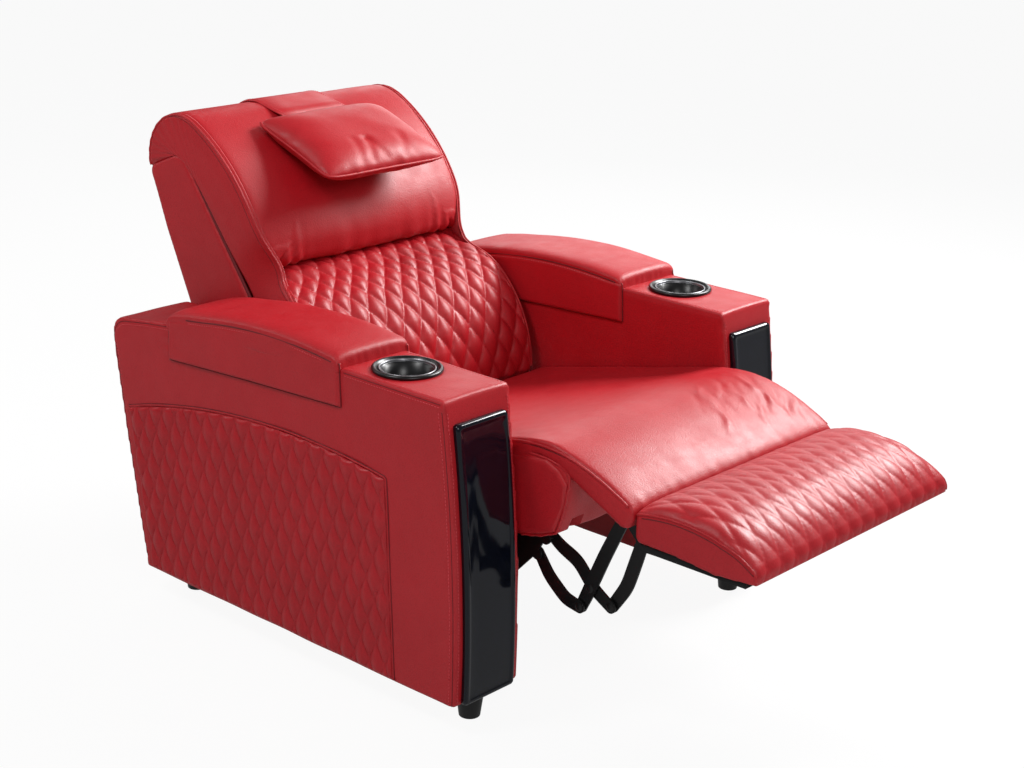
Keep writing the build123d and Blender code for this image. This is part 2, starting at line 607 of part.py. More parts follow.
with BuildPart() as seat_cushion:
    with BuildSketch(side(-SEAT_HALF)):
        with BuildLine():
            nose = ThreePointArc(
                (-SEAT_NOSE, seat_top(-SEAT_NOSE)),
                (NOSE_Y, NOSE_TOP),
                (pad_top_front[0] + HINGE_CLEAR, pad_top_front[1]),
            )
            Polyline(
                nose @ 1,
                (pad_under_front[0] + HINGE_CLEAR, pad_under_front[1]),
                (FRAME_FRONT - 30, CHAISE_HINGE[1]),
                (FRAME_FRONT + SEAM_GAP, seat_bottom(FRAME_FRONT)),
                (SEAT_REAR, seat_bottom(SEAT_REAR)),
                (SEAT_REAR, seat_top(SEAT_REAR)),
                nose @ 0,
            )
        make_face()
        add(roll_room.sketch, mode=Mode.SUBTRACT)
    extrude(amount=2 * SEAT_HALF)
    fillet(seat_cushion.edges().filter_by(Axis.X).group_by(Axis.Y)[-1], 16)
keep(seat_cushion.part, "seat_cushion")

FRAME_OUTER = SEAT_HALF - 3
FRAME_REAR = SEAT_REAR
side_wood = FRAME_OUTER - SIDE_PLATE_X - PLATE_T
with BuildPart() as seat_side_rails:
    with BuildSketch(side(SIDE_PLATE_X + PLATE_T)):
        with BuildLine():
            Polyline(
                (FRAME_FRONT, seat_bottom(FRAME_FRONT)),
                (FRAME_REAR, seat_bottom(FRAME_REAR)),
                (FRAME_REAR, seat_bottom(FRAME_REAR) - FRAME_DEPTH),
                (FRAME_FRONT, seat_bottom(FRAME_FRONT) - FRAME_DEPTH),
                close=True,
            )
        make_face()
    extrude(amount=side_wood)
    both_sides()
keep(seat_side_rails.part, "seat_side_rails")


with BuildPart() as seat_cross_rails:
    for y in (FRAME_FRONT, FRAME_REAR - RAIL_WOOD):
        with BuildSketch(side(-SIDE_PLATE_X)):
            with BuildLine():
                Polyline(
                    (y, seat_bottom(y)),
                    (y + RAIL_WOOD, seat_bottom(y + RAIL_WOOD)),
                    (y + RAIL_WOOD, seat_bottom(y + RAIL_WOOD) - FRAME_DEPTH),
                    (y, seat_bottom(y) - FRAME_DEPTH),
                    close=True,
                )
            make_face()
        extrude(amount=2 * SIDE_PLATE_X)
keep(seat_cross_rails.part, "seat_cross_rails")

# Zigzag springs between the front and rear rails, under the cushion
SPRING_R = 1.9
SPRING_PITCH = 84.0
SPRING_WAVE = 24.0
SPRING_BEND_R = 6.0
SPRING_CLIP = 1.5        # between the spring's end and the rail
SPRING_COUNT = 5
spring_start = FRAME_FRONT + RAIL_WOOD + SPRING_CLIP
spring_end = FRAME_REAR - RAIL_WOOD - SPRING_CLIP
spring_turns = 14
spring_step = (spring_end - spring_start) / spring_turns
spring_slope = degrees(atan2(-seat_fall, 1))


def spring_plane(x):
    """Plane under the cushion, its local x across the chair and local y to the rear."""
    start_z = seat_bottom(spring_start) - SPRING_R - 1
    rearwards = (0, cos(radians(spring_slope)), sin(radians(spring_slope)))
    normal = (0, -rearwards[2], rearwards[1])
    return Plane(origin=(x, FRONT + spring_start, start_z), x_dir=(1, 0, 0), z_dir=normal)


with BuildPart() as seat_springs:
    for n in range(SPRING_COUNT):
        plane = spring_plane(SPRING_PITCH * (n - (SPRING_COUNT - 1) / 2))
        run = spring_step / cos(radians(spring_slope))
        wave = [(SPRING_WAVE * (0 if k in (0, spring_turns) else (-1) ** k), run * k)
                for k in range(spring_turns + 1)]
        with BuildLine(plane) as wire:
            FilletPolyline(*wave, radius=SPRING_BEND_R)
        with BuildSketch(Plane(origin=wire.line @ 0, z_dir=wire.line % 0)):
            Circle(SPRING_R)
        sweep(path=wire.line)
keep(seat_springs.part, "seat_springs")


# Side plates carry the frame, the rollers, the footrest links and the back
ROLLER_YS = (60.0, 400.0)
ROLLER_Z = RAIL_BOTTOM + RAIL_HEIGHT / 2
with BuildPart() as side_plates:
    with BuildSketch(side(SIDE_PLATE_X)):
        with BuildLine():
            Polyline(
                PIVOT_FRONT,
                PIVOT_REAR,
                (ROLLER_YS[0] - 20, ROLLER_Z - 12),
                (ROLLER_YS[1] + 12, ROLLER_Z - 12),
                (BACK_PIVOT[0] + 10, BACK_PIVOT[1] - 20),
                BACK_PIVOT,
                (BACK_PIVOT[0] - 30, BACK_PIVOT[1] - 12),
                (SEAT_REAR, seat_bottom(SEAT_REAR) - 4),
                (FRAME_FRONT, seat_bottom(FRAME_FRONT) - 4),
                close=True,
            )
        make_face()
        with Locations(PIVOT_FRONT, PIVOT_REAR):
            Circle(LINK_W / 2 + 2)
        with Locations(BACK_PIVOT):
            Circle(24)
            Circle(BACK_PIN_R + RUN_GAP, mode=Mode.SUBTRACT)
    extrude(amount=PLATE_T)
    rod(LINK_X[2] - FACE_GAP, PIVOT_FRONT, PIN_R, SIDE_PLATE_X - LINK_X[2] + FACE_GAP)
    rod(LINK_X[2] - FACE_GAP - HEAD_T, PIVOT_FRONT, HEAD_R, HEAD_T)
    rod(LINK_X[0] - FACE_GAP, PIVOT_REAR, PIN_R, SIDE_PLATE_X - LINK_X[0] + FACE_GAP)
    rod(LINK_X[0] - FACE_GAP - HEAD_T, PIVOT_REAR, HEAD_R, HEAD_T)
    for roller_y in ROLLER_YS:
        rod(SIDE_PLATE_X + PLATE_T, (roller_y, ROLLER_Z), AXLE_R, RAIL_WIDTH - 2)
    both_sides()
keep(side_plates.part, "seat_side_plates")

for roller_name, roller_y in zip(("front", "rear"), ROLLER_YS):
    with BuildPart() as rollers:
        rod(ARM_INNER - RAIL_WALL - 4 - ROLLER_WIDTH, (roller_y, ROLLER_Z), ROLLER_R, ROLLER_WIDTH)
        rod(ARM_INNER - RAIL_WALL - 5 - ROLLER_WIDTH, (roller_y, ROLLER_Z), ROLLER_BORE_R, ROLLER_WIDTH + 2,
            mode=Mode.SUBTRACT)
        both_sides()
    keep(rollers.part, f"{roller_name}_rollers")

with BuildPart() as seat_cross_shaft:
    rod(-SIDE_PLATE_X, (SHAFT_Y, DRIVE_Z), SHAFT_R, 2 * SIDE_PLATE_X)
keep(seat_cross_shaft.part, "seat_cross_shaft")

with BuildPart() as glide_rod:
    with BuildSketch(across(ROD_END)):
        with Locations((DRIVE_X, DRIVE_Z)):
            Circle(DRIVE_ROD_R)
    extrude(amount=ROD_END - SHAFT_Y)
    rod(DRIVE_X - 12, (SHAFT_Y, DRIVE_Z), SHAFT_R + 7, 24)
    rod(DRIVE_X - 13, (SHAFT_Y, DRIVE_Z), SHAFT_R + RUN_GAP, 26, mode=Mode.SUBTRACT)
keep(glide_rod.part, "glide_rod")

# ------------------------------------------------------------------ footrest
chaise_end = along(CREASE, CHAISE_SLOPE, CREASE_GAP)
chaise_end_under = along(along(CREASE, CHAISE_SLOPE, CREASE_GAP + 7), up_angle, -TOP_PAD)
with BuildPart() as chaise_pad:
    with BuildSketch(side(-SEAT_HALF + 2)):
        with BuildLine():
            Polyline(pad_top_front, chaise_end, chaise_end_under, pad_under_front, close=True)
        make_face()
    extrude(amount=2 * SEAT_HALF - 4)
    fillet(chaise_pad.edges().filter_by(Axis.X).group_by(Axis.Y)[0], 5)
keep(chaise_pad.part, "chaise_pad")

rest_front = CREASE[0] - FOOTREST_LENGTH
rest_bottom = CREASE[1] - FOOTREST_SIDE
with BuildPart() as footrest_pad:
    with BuildSketch(side(-FOOTREST_HALF_WIDTH)):
        with BuildLine():
            belly = ThreePointArc(
                (CREASE[0] - CREASE_GAP, CREASE[1] - 3),
                (CREASE[0] - 0.4 * FOOTREST_LENGTH, CREASE[1] + FOOTREST_BELLY),
                (rest_front + 2, CREASE[1] - 22),
            )
            Polyline(
                belly @ 1,
                (rest_front - 2, rest_bottom - 4),
                (rest_front + 80, rest_bottom - 6),
                (CREASE[0] - 4 * CREASE_GAP, rest_bottom),
                belly @ 0,
            )
        make_face()
    extrude(amount=2 * FOOTREST_HALF_WIDTH)
    fillet(footrest_pad.edges().filter_by(Axis.X).group_by(Axis.Z)[-1], 4)
keep(footrest_pad.part, "footrest_pad")

rest_board_top = rest_bottom - 6
with BuildPart() as footrest_board:
    block((-FOOTREST_HALF_WIDTH + 6, rest_front + 20, rest_board_top - FOOTREST_BOARD),
          (FOOTREST_HALF_WIDTH - 6, CREASE[0] - 12, rest_board_top))
keep(footrest_board.part, "footrest_board")

bracket_z = rest_board_top - FOOTREST_BOARD
with BuildPart() as footrest_brackets:
    with BuildSketch(side(LINK_X[2])):
        with BuildLine():
            Polyline(
                (BRACKET_REAR[0] + 4, BRACKET_REAR[1] + 8),
                (BRACKET_FRONT[0] - 4, BRACKET_FRONT[1] + 8),
                (CREASE[0] - 11, bracket_z),
                (CREASE[0] - 78, bracket_z),
                (CREASE[0] - 60, bracket_z - 22),
                (BRACKET_FRONT[0] - 2, BRACKET_FRONT[1] - 28),
                (BRACKET_REAR[0] - 4, BRACKET_REAR[1] - 9),
                close=True,
            )
        make_face()
        with Locations(BRACKET_REAR, BRACKET_FRONT):
            Circle(LINK_W / 2)
            Circle(PIN_R + OPEN_GAP, mode=Mode.SUBTRACT)
    extrude(amount=PLATE_T)
    block((LINK_X[2] - 22, CREASE[0] - 78, bracket_z - 3), (LINK_X[2] + PLATE_T, CREASE[0] - 22, bracket_z))
    both_sides()
keep(footrest_brackets.part, "footrest_brackets")


# ------------------------------------------------------------------ footrest links
def hole(x, centre, clearance):
    rod(x - 1, centre, PIN_R + clearance, PLATE_T + 2, mode=Mode.SUBTRACT)


def rivet(own_x, other_x, centre):
    """Pin fixed in one link and passing through its neighbour, with a head on both sides."""
    low = min(own_x, other_x)
    high = max(own_x, other_x) + PLATE_T
    grow_low = 0 if low == own_x else FACE_GAP
    grow_high = 0 if high == own_x + PLATE_T else FACE_GAP
    rod(low - grow_low, centre, PIN_R, high - low + grow_low + grow_high)
    rod(low - grow_low - HEAD_T, centre, HEAD_R, HEAD_T)
    rod(high + grow_high, centre, HEAD_R, HEAD_T)


with BuildPart() as lower_rear_links:
    bar(LINK_X[0], PIVOT_REAR, KNEE_REAR)
    hole(LINK_X[0], PIVOT_REAR, RUN_GAP)
    rivet(LINK_X[0], LINK_X[1], KNEE_REAR)
    both_sides()
keep(lower_rear_links.part, "lower_rear_links")

with BuildPart() as upper_rear_links:
    bar(LINK_X[1], KNEE_REAR, BRACKET_REAR)
    hole(LINK_X[1], KNEE_REAR, RUN_GAP)
    hole(LINK_X[1], CROSSING, OPEN_GAP)
    rivet(LINK_X[1], LINK_X[2], BRACKET_REAR)
    both_sides()
keep(upper_rear_links.part, "upper_rear_links")

with BuildPart() as lower_front_links:
    bar(LINK_X[2], PIVOT_FRONT, CROSSING)
    bar(LINK_X[2], CROSSING, KNEE_FRONT)
    hole(LINK_X[2], PIVOT_FRONT, RUN_GAP)
    rivet(LINK_X[2], LINK_X[1], CROSSING)
    rivet(LINK_X[2], LINK_X[3], KNEE_FRONT)
    both_sides()
keep(lower_front_links.part, "lower_front_links")

with BuildPart() as upper_front_links:
    bar(LINK_X[3], KNEE_FRONT, BRACKET_FRONT)
    hole(LINK_X[3], KNEE_FRONT, RUN_GAP)
    rivet(LINK_X[3], LINK_X[2], BRACKET_FRONT)
    both_sides()
keep(upper_front_links.part, "upper_front_links")

# ------------------------------------------------------------------ back
groove_angle = degrees(atan2(GROOVE_TOP[1] - GROOVE_FOOT[1], GROOVE_TOP[0] - GROOVE_FOOT[0]))
groove_length = ((GROOVE_TOP[0] - GROOVE_FOOT[0]) ** 2 + (GROOVE_TOP[1] - GROOVE_FOOT[1]) ** 2) ** 0.5


def groove(distance, depth=0.0):
    """Point up the groove line from its foot; depth is measured into the shell."""
    return along(along(GROOVE_FOOT, groove_angle, distance), groove_angle - 90, depth)


seam_distance = 295.0    # where the head section meets the groove line
lumbar_top = groove(seam_distance - 2)
head_foot = groove(seam_distance + 2)


HINGE_X = 196.0          # head hinge: the back's plates, with the head's plates outside them
HEAD_PLATE_X = HINGE_X + PLATE_T + 1.5
HINGE_R = 10.0


def hinge_slot(x, low, high):
    """Narrow slot in the foam for a hinge plate, on both sides."""
    for s in SIDES.values():
        xs = sorted((s * (x - 1), s * (x + PLATE_T + 1)))
        block((xs[0], *low), (xs[1], *high), mode=Mode.SUBTRACT)


with BuildPart() as back_cushion:
    with BuildSketch(side(-BACK_HALF)):
        with BuildLine():
            belly = ThreePointArc(LUMBAR_FOOT, LUMBAR_BELLY, LUMBAR_TOP)
            Polyline(belly @ 1, HEAD_HINGE, lumbar_top, GROOVE_FOOT,
                     (GROOVE_FOOT[0] - 4, GROOVE_FOOT[1] - 10), belly @ 0)
        make_face()
    extrude(amount=2 * BACK_HALF)
    rod(-BACK_HALF - 1, HEAD_HINGE, HINGE_CHANNEL, 2 * BACK_HALF + 2, mode=Mode.SUBTRACT)
    hinge_slot(HINGE_X, (HEAD_HINGE[0] - 6, HEAD_HINGE[1] - 90), (HEAD_HINGE[0] + 80, HEAD_HINGE[1] + 30))
    hinge_slot(HEAD_PLATE_X, (HEAD_HINGE[0] - 6, HEAD_HINGE[1] - 14), (HEAD_HINGE[0] + 80, HEAD_HINGE[1] + 30))
keep(back_cushion.part, "back_cushion")

SHELL_TOP = (101, -45)   # rear outline of the shell, from the top of the groove line
SHELL_WAIST = (-10, -296)
SHELL_TAIL = (-117, -537)
shell_top, shell_waist, shell_tail = (
    (GROOVE_TOP[0] + y, GROOVE_TOP[1] + z) for y, z in (SHELL_TOP, SHELL_WAIST, SHELL_TAIL)
)

with BuildPart() as back_shell:
    with BuildSketch(side(-BACK_HALF)):
        with BuildLine():
            Polyline(GROOVE_FOOT, GROOVE_TOP, shell_top, shell_waist, shell_tail, close=True)
        make_face()
    extrude(amount=2 * BACK_HALF)
    with BuildSketch(side(-BACK_HALF + SHELL_WALL)):
        with BuildLine():
            Polyline(
                groove(-60, -30),
                groove(groove_length - SHELL_WALL, -30),
                groove(groove_length - SHELL_WALL, 0),
                (shell_top[0] - 1.25 * SHELL_WALL, shell_top[1] - 0.6 * SHELL_WALL),
                (shell_waist[0] - 1.08 * SHELL_WALL, shell_waist[1]),
                (shell_tail[0] - 1.08 * SHELL_WALL, shell_tail[1]),
                (shell_tail[0] - 1.3 * SHELL_WALL, shell_tail[1] - 60),
                close=True,
            )
        make_face()
    extrude(amount=2 * (BACK_HALF - SHELL_WALL), mode=Mode.SUBTRACT)
keep(back_shell.part, "back_shell")

BRACKET_X = LINK_X[3]    # the back's steel brackets, outside the stiles
frame_top = groove_length - 130


def slab(x, length, low, high, depth_low, depth_high, mode=Mode.ADD):
    """Board that lies along the groove line, growing to +X from x."""
    with BuildSketch(side(x)) as outline:
        with BuildLine():
            Polyline(groove(low, depth_low), groove(high, depth_low),
                     groove(high, depth_high), groove(low, depth_high), close=True)
        make_face()
    extrude(outline.sketch, amount=length, mode=mode)


with BuildPart() as back_stiles:
    slab(BRACKET_X - STILE, STILE, 10, frame_top + 20, 0, STILE_DEPTH)
    both_sides()
keep(back_stiles.part, "back_stiles")

with BuildPart() as back_rails:
    for low in (24, 150, seam_distance - 50, frame_top - 40):
        slab(-BRACKET_X + STILE, 2 * (BRACKET_X - STILE), low, low + 45, 0, BOARD)
keep(back_rails.part, "back_rails")

lever_angle = -90 - LEVER_LEAN
lever_pin = (BACK_PIVOT[0] - LEVER * sin(radians(LEVER_LEAN)) / cos(radians(LEVER_LEAN)), DRIVE_Z)
with BuildPart() as back_brackets:
    with BuildSketch(side(BRACKET_X)):
        with BuildLine():
            Polyline(along(BACK_PIVOT, groove_angle + 90, 16), groove(0, 12), groove(110, 4), groove(110, 36),
                     groove(20, 36),
                     along(BACK_PIVOT, groove_angle - 90, 16), close=True)
        make_face()
        with Locations(BACK_PIVOT):
            Circle(20)
            Circle(BACK_PIN_R + RUN_GAP, mode=Mode.SUBTRACT)
    extrude(amount=PLATE_T)
    both_sides()
    with BuildSketch(side(-BRACKET_X - PLATE_T)):
        with BuildLine():
            Polyline(
                along(BACK_PIVOT, lever_angle - 90, 15),
                along(BACK_PIVOT, lever_angle + 90, 15),
                along(along(BACK_PIVOT, lever_angle, LEVER + 18), lever_angle + 90, 13),
                along(along(BACK_PIVOT, lever_angle, LEVER + 18), lever_angle - 90, 13),
                close=True,
            )
        make_face()
        with Locations(BACK_PIVOT):
            Circle(BACK_PIN_R + RUN_GAP, mode=Mode.SUBTRACT)
        with Locations(along(BACK_PIVOT, lever_angle, LEVER + 3)):
            SlotCenterToCenter(8, 2 * (LEVER_PIN_R + OPEN_GAP), rotation=lever_angle, mode=Mode.SUBTRACT)
    extrude(amount=PLATE_T)
keep(back_brackets.part, "back_brackets")

with BuildPart() as back_pins:
    rod(BRACKET_X - 6, BACK_PIVOT, BACK_PIN_R, SIDE_PLATE_X + PLATE_T + 5 - BRACKET_X + 6)
    rod(BRACKET_X - 8, BACK_PIVOT, BACK_PIN_R + 4, 2)
    rod(SIDE_PLATE_X + PLATE_T, BACK_PIVOT, BACK_PIN_R + 4, 5)
    rod(BRACKET_X + PLATE_T + FACE_GAP, BACK_PIVOT, BACK_PIN_R + 4,
        SIDE_PLATE_X - BRACKET_X - PLATE_T - FACE_GAP)
    both_sides()
keep(back_pins.part, "back_pins")

# Back actuator on the seat's cross shaft; its rod pushes the lever under the right-hand bracket
ACTUATOR_X = -222.0
ACTUATOR_R = 13.0
ACTUATOR_ROD_R = 7.0
ACTUATOR_END_Y = 395.0
CLEVIS = 14.0            # front end of the tube behind the shaft
CLEVIS_HALF = 16.0
BACK_MOTOR_Y = 30.0
BACK_MOTOR_SIZE = (70.0, 54.0, 42.0)
with BuildPart() as back_actuator:
    with BuildSketch(across(ACTUATOR_END_Y)):
        with Locations((ACTUATOR_X, DRIVE_Z)):
            Circle(ACTUATOR_R)
    extrude(amount=ACTUATOR_END_Y - SHAFT_Y - CLEVIS)
    block((ACTUATOR_X - ACTUATOR_R, SHAFT_Y - CLEVIS_HALF, DRIVE_Z - CLEVIS_HALF),
          (ACTUATOR_X + ACTUATOR_R, SHAFT_Y + 1.5 * CLEVIS_HALF, DRIVE_Z + CLEVIS_HALF))
    block((ACTUATOR_X, SHAFT_Y + BACK_MOTOR_Y, DRIVE_Z + 1 - BACK_MOTOR_SIZE[2] / 2),
          (ACTUATOR_X + BACK_MOTOR_SIZE[0], SHAFT_Y + BACK_MOTOR_Y + BACK_MOTOR_SIZE[1],
           DRIVE_Z + 1 + BACK_MOTOR_SIZE[2] / 2))
    with BuildSketch(across(ACTUATOR_END_Y + 1)):
        with Locations((ACTUATOR_X, DRIVE_Z)):
            Circle(ACTUATOR_ROD_R + ROD_FIT)
    extrude(amount=ACTUATOR_END_Y - SHAFT_Y - BACK_MOTOR_Y, mode=Mode.SUBTRACT)
    rod(ACTUATOR_X - 20, (SHAFT_Y, DRIVE_Z), SHAFT_R + RUN_GAP, 40, mode=Mode.SUBTRACT)
keep(back_actuator.part, "back_actuator")

with BuildPart() as back_rod:
    with BuildSketch(across(lever_pin[0])):
        with Locations((ACTUATOR_X, DRIVE_Z)):
            Circle(ACTUATOR_ROD_R)
    extrude(amount=lever_pin[0] - ACTUATOR_END_Y + 80)
    block((ACTUATOR_X - 12, lever_pin[0] - 12, DRIVE_Z - 10), (ACTUATOR_X + 12, lever_pin[0] + 10, DRIVE_Z + 10))
    rod(-BRACKET_X - PLATE_T - 4, lever_pin, LEVER_PIN_R, BRACKET_X + PLATE_T + 4 + ACTUATOR_X)
keep(back_rod.part, "back_rod")

# ------------------------------------------------------------------ headrest
with BuildPart() as hinge_rod:
    rod(-HEAD_PLATE_X - PLATE_T - 3, HEAD_HINGE, HINGE_ROD_R, 2 * (HEAD_PLATE_X + PLATE_T + 3))
keep(hinge_rod.part, "head_hinge_rod")


def hinge_plates(x, low, high, clearance):
    """Pair of steel plates from a board on the groove line to the head hinge."""
    with BuildPart() as plates:
        with BuildSketch(side(x)):
            with BuildLine():
                Polyline(along(HEAD_HINGE, -60, 8), groove(low, 0), groove(high, 0),
                         along(HEAD_HINGE, 120, 8), close=True)
            make_face()
            with Locations(HEAD_HINGE):
                Circle(HINGE_R)
                Circle(HINGE_ROD_R + clearance, mode=Mode.SUBTRACT)
        extrude(amount=PLATE_T)
        both_sides()
    return plates.part


keep(hinge_plates(HINGE_X, seam_distance - 46, seam_distance - 6, RUN_GAP), "back_hinge_plates")


# Side view of the head section: face, rolled top and the seat on the shell's top
roll_start = along(HEAD_ROLL, 115, HEAD_ROLL_R)
with BuildSketch() as head_outline:
    with BuildLine():
        face = TangentArc(roll_start, HEAD_FOOT, tangent=(-cos(radians(25)), -sin(radians(25))))
        roll = ThreePointArc(roll_start, along(HEAD_ROLL, 45, HEAD_ROLL_R), along(HEAD_ROLL, -14, HEAD_ROLL_R))
        Polyline(
            roll @ 1,
            (GROOVE_TOP[0], GROOVE_TOP[1] + 2 * SHELL_GAP),
            groove(groove_length, -SHELL_GAP),
            groove(seam_distance + 2, -SHELL_GAP),
            HEAD_HINGE,
            HEAD_FOOT,
        )
    make_face()

HEAD_BOARD_HALF = 230.0
with BuildPart() as head_cushion:
    with BuildSketch(side(-BACK_HALF)):
        add(head_outline.sketch)
    extrude(amount=2 * BACK_HALF)
    rod(-BACK_HALF - 1, HEAD_HINGE, HINGE_CHANNEL, 2 * BACK_HALF + 2, mode=Mode.SUBTRACT)
    hinge_slot(HINGE_X, (HEAD_HINGE[0] - 6, HEAD_HINGE[1] - 4), (HEAD_HINGE[0] + 74, HEAD_HINGE[1] + 24))
    hinge_slot(HEAD_PLATE_X, (HEAD_HINGE[0] - 6, HEAD_HINGE[1] - 10), (HEAD_HINGE[0] + 90, HEAD_HINGE[1] + 62))
    slab(-HEAD_BOARD_HALF, 2 * HEAD_BOARD_HALF, seam_distance + 20, groove_length - 20,
         -SHELL_GAP - BOARD, 0, mode=Mode.SUBTRACT)
keep(head_cushion.part, "head_cushion")

with BuildPart() as head_board:
    slab(-HEAD_BOARD_HALF, 2 * HEAD_BOARD_HALF, seam_distance + 20, groove_length - 20,
         -SHELL_GAP - BOARD, -SHELL_GAP)
keep(head_board.part, "head_board")

with BuildPart() as head_hinge_plates:
    with BuildSketch(side(HEAD_PLATE_X)):
        with BuildLine():
            Polyline(along(HEAD_HINGE, 0, 8), groove(seam_distance + 24, -SHELL_GAP - BOARD),
                     groove(seam_distance + 60, -SHELL_GAP - BOARD), along(HEAD_HINGE, 150, 8), close=True)
        make_face()
        with Locations(HEAD_HINGE):
            Circle(HINGE_R)
            Circle(HINGE_ROD_R + RUN_GAP, mode=Mode.SUBTRACT)
    extrude(amount=PLATE_T)
    both_sides()
keep(head_hinge_plates.part, "head_hinge_plates")

# Strap: straight off the pillow's rear seam, then round the roll down to its rear
strap_start = (PILLOW_REAR[0] + STRAP_GAP, PILLOW_REAR[1])
strap_reach = ((strap_start[0] - HEAD_ROLL[0]) ** 2 + (strap_start[1] - HEAD_ROLL[1]) ** 2) ** 0.5
strap_under = HEAD_ROLL_R + SEAM_GAP
leave_angle = degrees(atan2(strap_start[1] - HEAD_ROLL[1], strap_start[0] - HEAD_ROLL[0])
                      - acos(strap_under / strap_reach))
with BuildPart() as pillow_strap:
    with BuildSketch(side(-STRAP_HALF)):
        with BuildLine():
            under = ThreePointArc(*(along(HEAD_ROLL, angle, strap_under)
                                    for angle in (leave_angle, leave_angle / 2, 0)))
            over = ThreePointArc(*(along(HEAD_ROLL, angle, strap_under + STRAP_T)
                                   for angle in (0, leave_angle / 2, leave_angle)))
            Line(under @ 1, over @ 0)
            Polyline(over @ 1, along(strap_start, leave_angle, STRAP_T), strap_start, under @ 0)
        make_face()
    extrude(amount=2 * STRAP_HALF)
keep(pillow_strap.part, "pillow_strap")

pillow_angle = 180 + PILLOW_TILT
pillow_front = along(PILLOW_REAR, pillow_angle, PILLOW_LENGTH)
pillow_middle = along(PILLOW_REAR, pillow_angle, PILLOW_LENGTH / 2)
with BuildPart() as head_pillow:
    with BuildSketch(side(-PILLOW_HALF)):
        with BuildLine():
            top = ThreePointArc(
                along(PILLOW_REAR, pillow_angle - 90, 4),
                along(pillow_middle, pillow_angle - 90, PILLOW_RISE),
                along(pillow_front, pillow_angle - 90, 4),
            )
            under = ThreePointArc(
                along(pillow_front, pillow_angle + 90, 4),
                along(pillow_middle, pillow_angle + 90, PILLOW_BELLY),
                along(PILLOW_REAR, pillow_angle + 90, 4),
            )
            Line(top @ 1, under @ 0)
            Line(under @ 1, top @ 0)
        make_face()
    extrude(amount=2 * PILLOW_HALF)
keep(head_pillow.part, "head_pillow")
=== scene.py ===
import json
import random
from math import cos, pi, radians, sin

import bmesh
import bpy
import numpy as np
from mathutils import Matrix, Vector
from mathutils.bvhtree import BVHTree
from mathutils.kdtree import KDTree

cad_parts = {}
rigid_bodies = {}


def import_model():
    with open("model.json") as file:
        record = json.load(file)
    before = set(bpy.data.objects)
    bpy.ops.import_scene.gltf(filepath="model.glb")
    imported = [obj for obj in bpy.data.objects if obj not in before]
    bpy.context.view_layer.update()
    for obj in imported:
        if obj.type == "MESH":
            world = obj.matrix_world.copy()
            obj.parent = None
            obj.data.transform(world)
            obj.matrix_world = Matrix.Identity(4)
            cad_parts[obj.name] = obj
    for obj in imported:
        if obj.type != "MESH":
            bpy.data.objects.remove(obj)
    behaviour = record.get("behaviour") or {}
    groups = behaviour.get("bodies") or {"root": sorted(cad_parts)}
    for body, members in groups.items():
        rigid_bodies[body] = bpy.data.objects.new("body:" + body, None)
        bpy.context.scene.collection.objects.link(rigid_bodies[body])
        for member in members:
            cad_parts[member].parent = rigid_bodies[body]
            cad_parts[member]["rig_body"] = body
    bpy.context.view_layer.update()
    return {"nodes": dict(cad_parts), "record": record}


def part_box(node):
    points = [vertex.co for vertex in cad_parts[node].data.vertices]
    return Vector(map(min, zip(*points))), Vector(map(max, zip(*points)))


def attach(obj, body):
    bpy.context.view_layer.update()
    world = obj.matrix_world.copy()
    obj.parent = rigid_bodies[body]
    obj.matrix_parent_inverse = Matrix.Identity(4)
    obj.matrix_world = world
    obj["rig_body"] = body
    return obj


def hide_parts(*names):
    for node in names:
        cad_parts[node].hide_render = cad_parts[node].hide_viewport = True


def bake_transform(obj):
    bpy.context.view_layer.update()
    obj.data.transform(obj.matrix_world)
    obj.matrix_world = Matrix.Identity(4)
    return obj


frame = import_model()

# ---------------------------------------------------------------- camera
# A long lens at standing eye height, three and a half metres from the chair's middle and off
# its right front corner. The turn, fall and roll are the angles it is seen at.
CAMERA_PLACE = Vector((-2.5843, -2.2639, 1.6068))
CAMERA_TURN = radians(-48.554)
CAMERA_FALL = radians(18.402)
CAMERA_ROLL = radians(1.896)
CAMERA_LENS = 66.733     # mm, before a frame 36 mm wide


def put(name, data):
    """A new object in the scene, with that data."""
    thing = bpy.data.objects.new(name, data)
    bpy.context.scene.collection.objects.link(thing)
    return thing


backward = Vector((sin(CAMERA_TURN) * cos(CAMERA_FALL), -cos(CAMERA_TURN) * cos(CAMERA_FALL),
                   sin(CAMERA_FALL)))
sideways = Vector((cos(CAMERA_TURN), sin(CAMERA_TURN), 0))
upward = backward.cross(sideways)
camera_right = sideways * cos(CAMERA_ROLL) + upward * sin(CAMERA_ROLL)
camera_up = upward * cos(CAMERA_ROLL) - sideways * sin(CAMERA_ROLL)
camera = put("camera", bpy.data.cameras.new("camera"))
camera.data.lens = CAMERA_LENS
camera.data.sensor_width = 36
turn = Matrix((camera_right, camera_up, backward)).transposed().to_4x4()
camera.matrix_world = Matrix.Translation(CAMERA_PLACE) @ turn
bpy.context.scene.camera = camera
bpy.context.scene.view_settings.view_transform = "Standard"


# ---------------------------------------------------------------- studio
# White seamless paper under the chair and pale air round it. The key softbox hangs high on the
# sitter's left. Weaker ones fill the front, the rear and the near arm, and a wide one at the
# left rear lights the back's edge.
def linear(colour):
    """The sRGB hex colour as linear red, green, blue and alpha."""
    parts = [int(colour[n:n + 2], 16) / 255 for n in (1, 3, 5)]
    return [c / 12.92 if c <= 0.04045 else ((c + 0.055) / 1.055) ** 2.4 for c in parts] + [1]


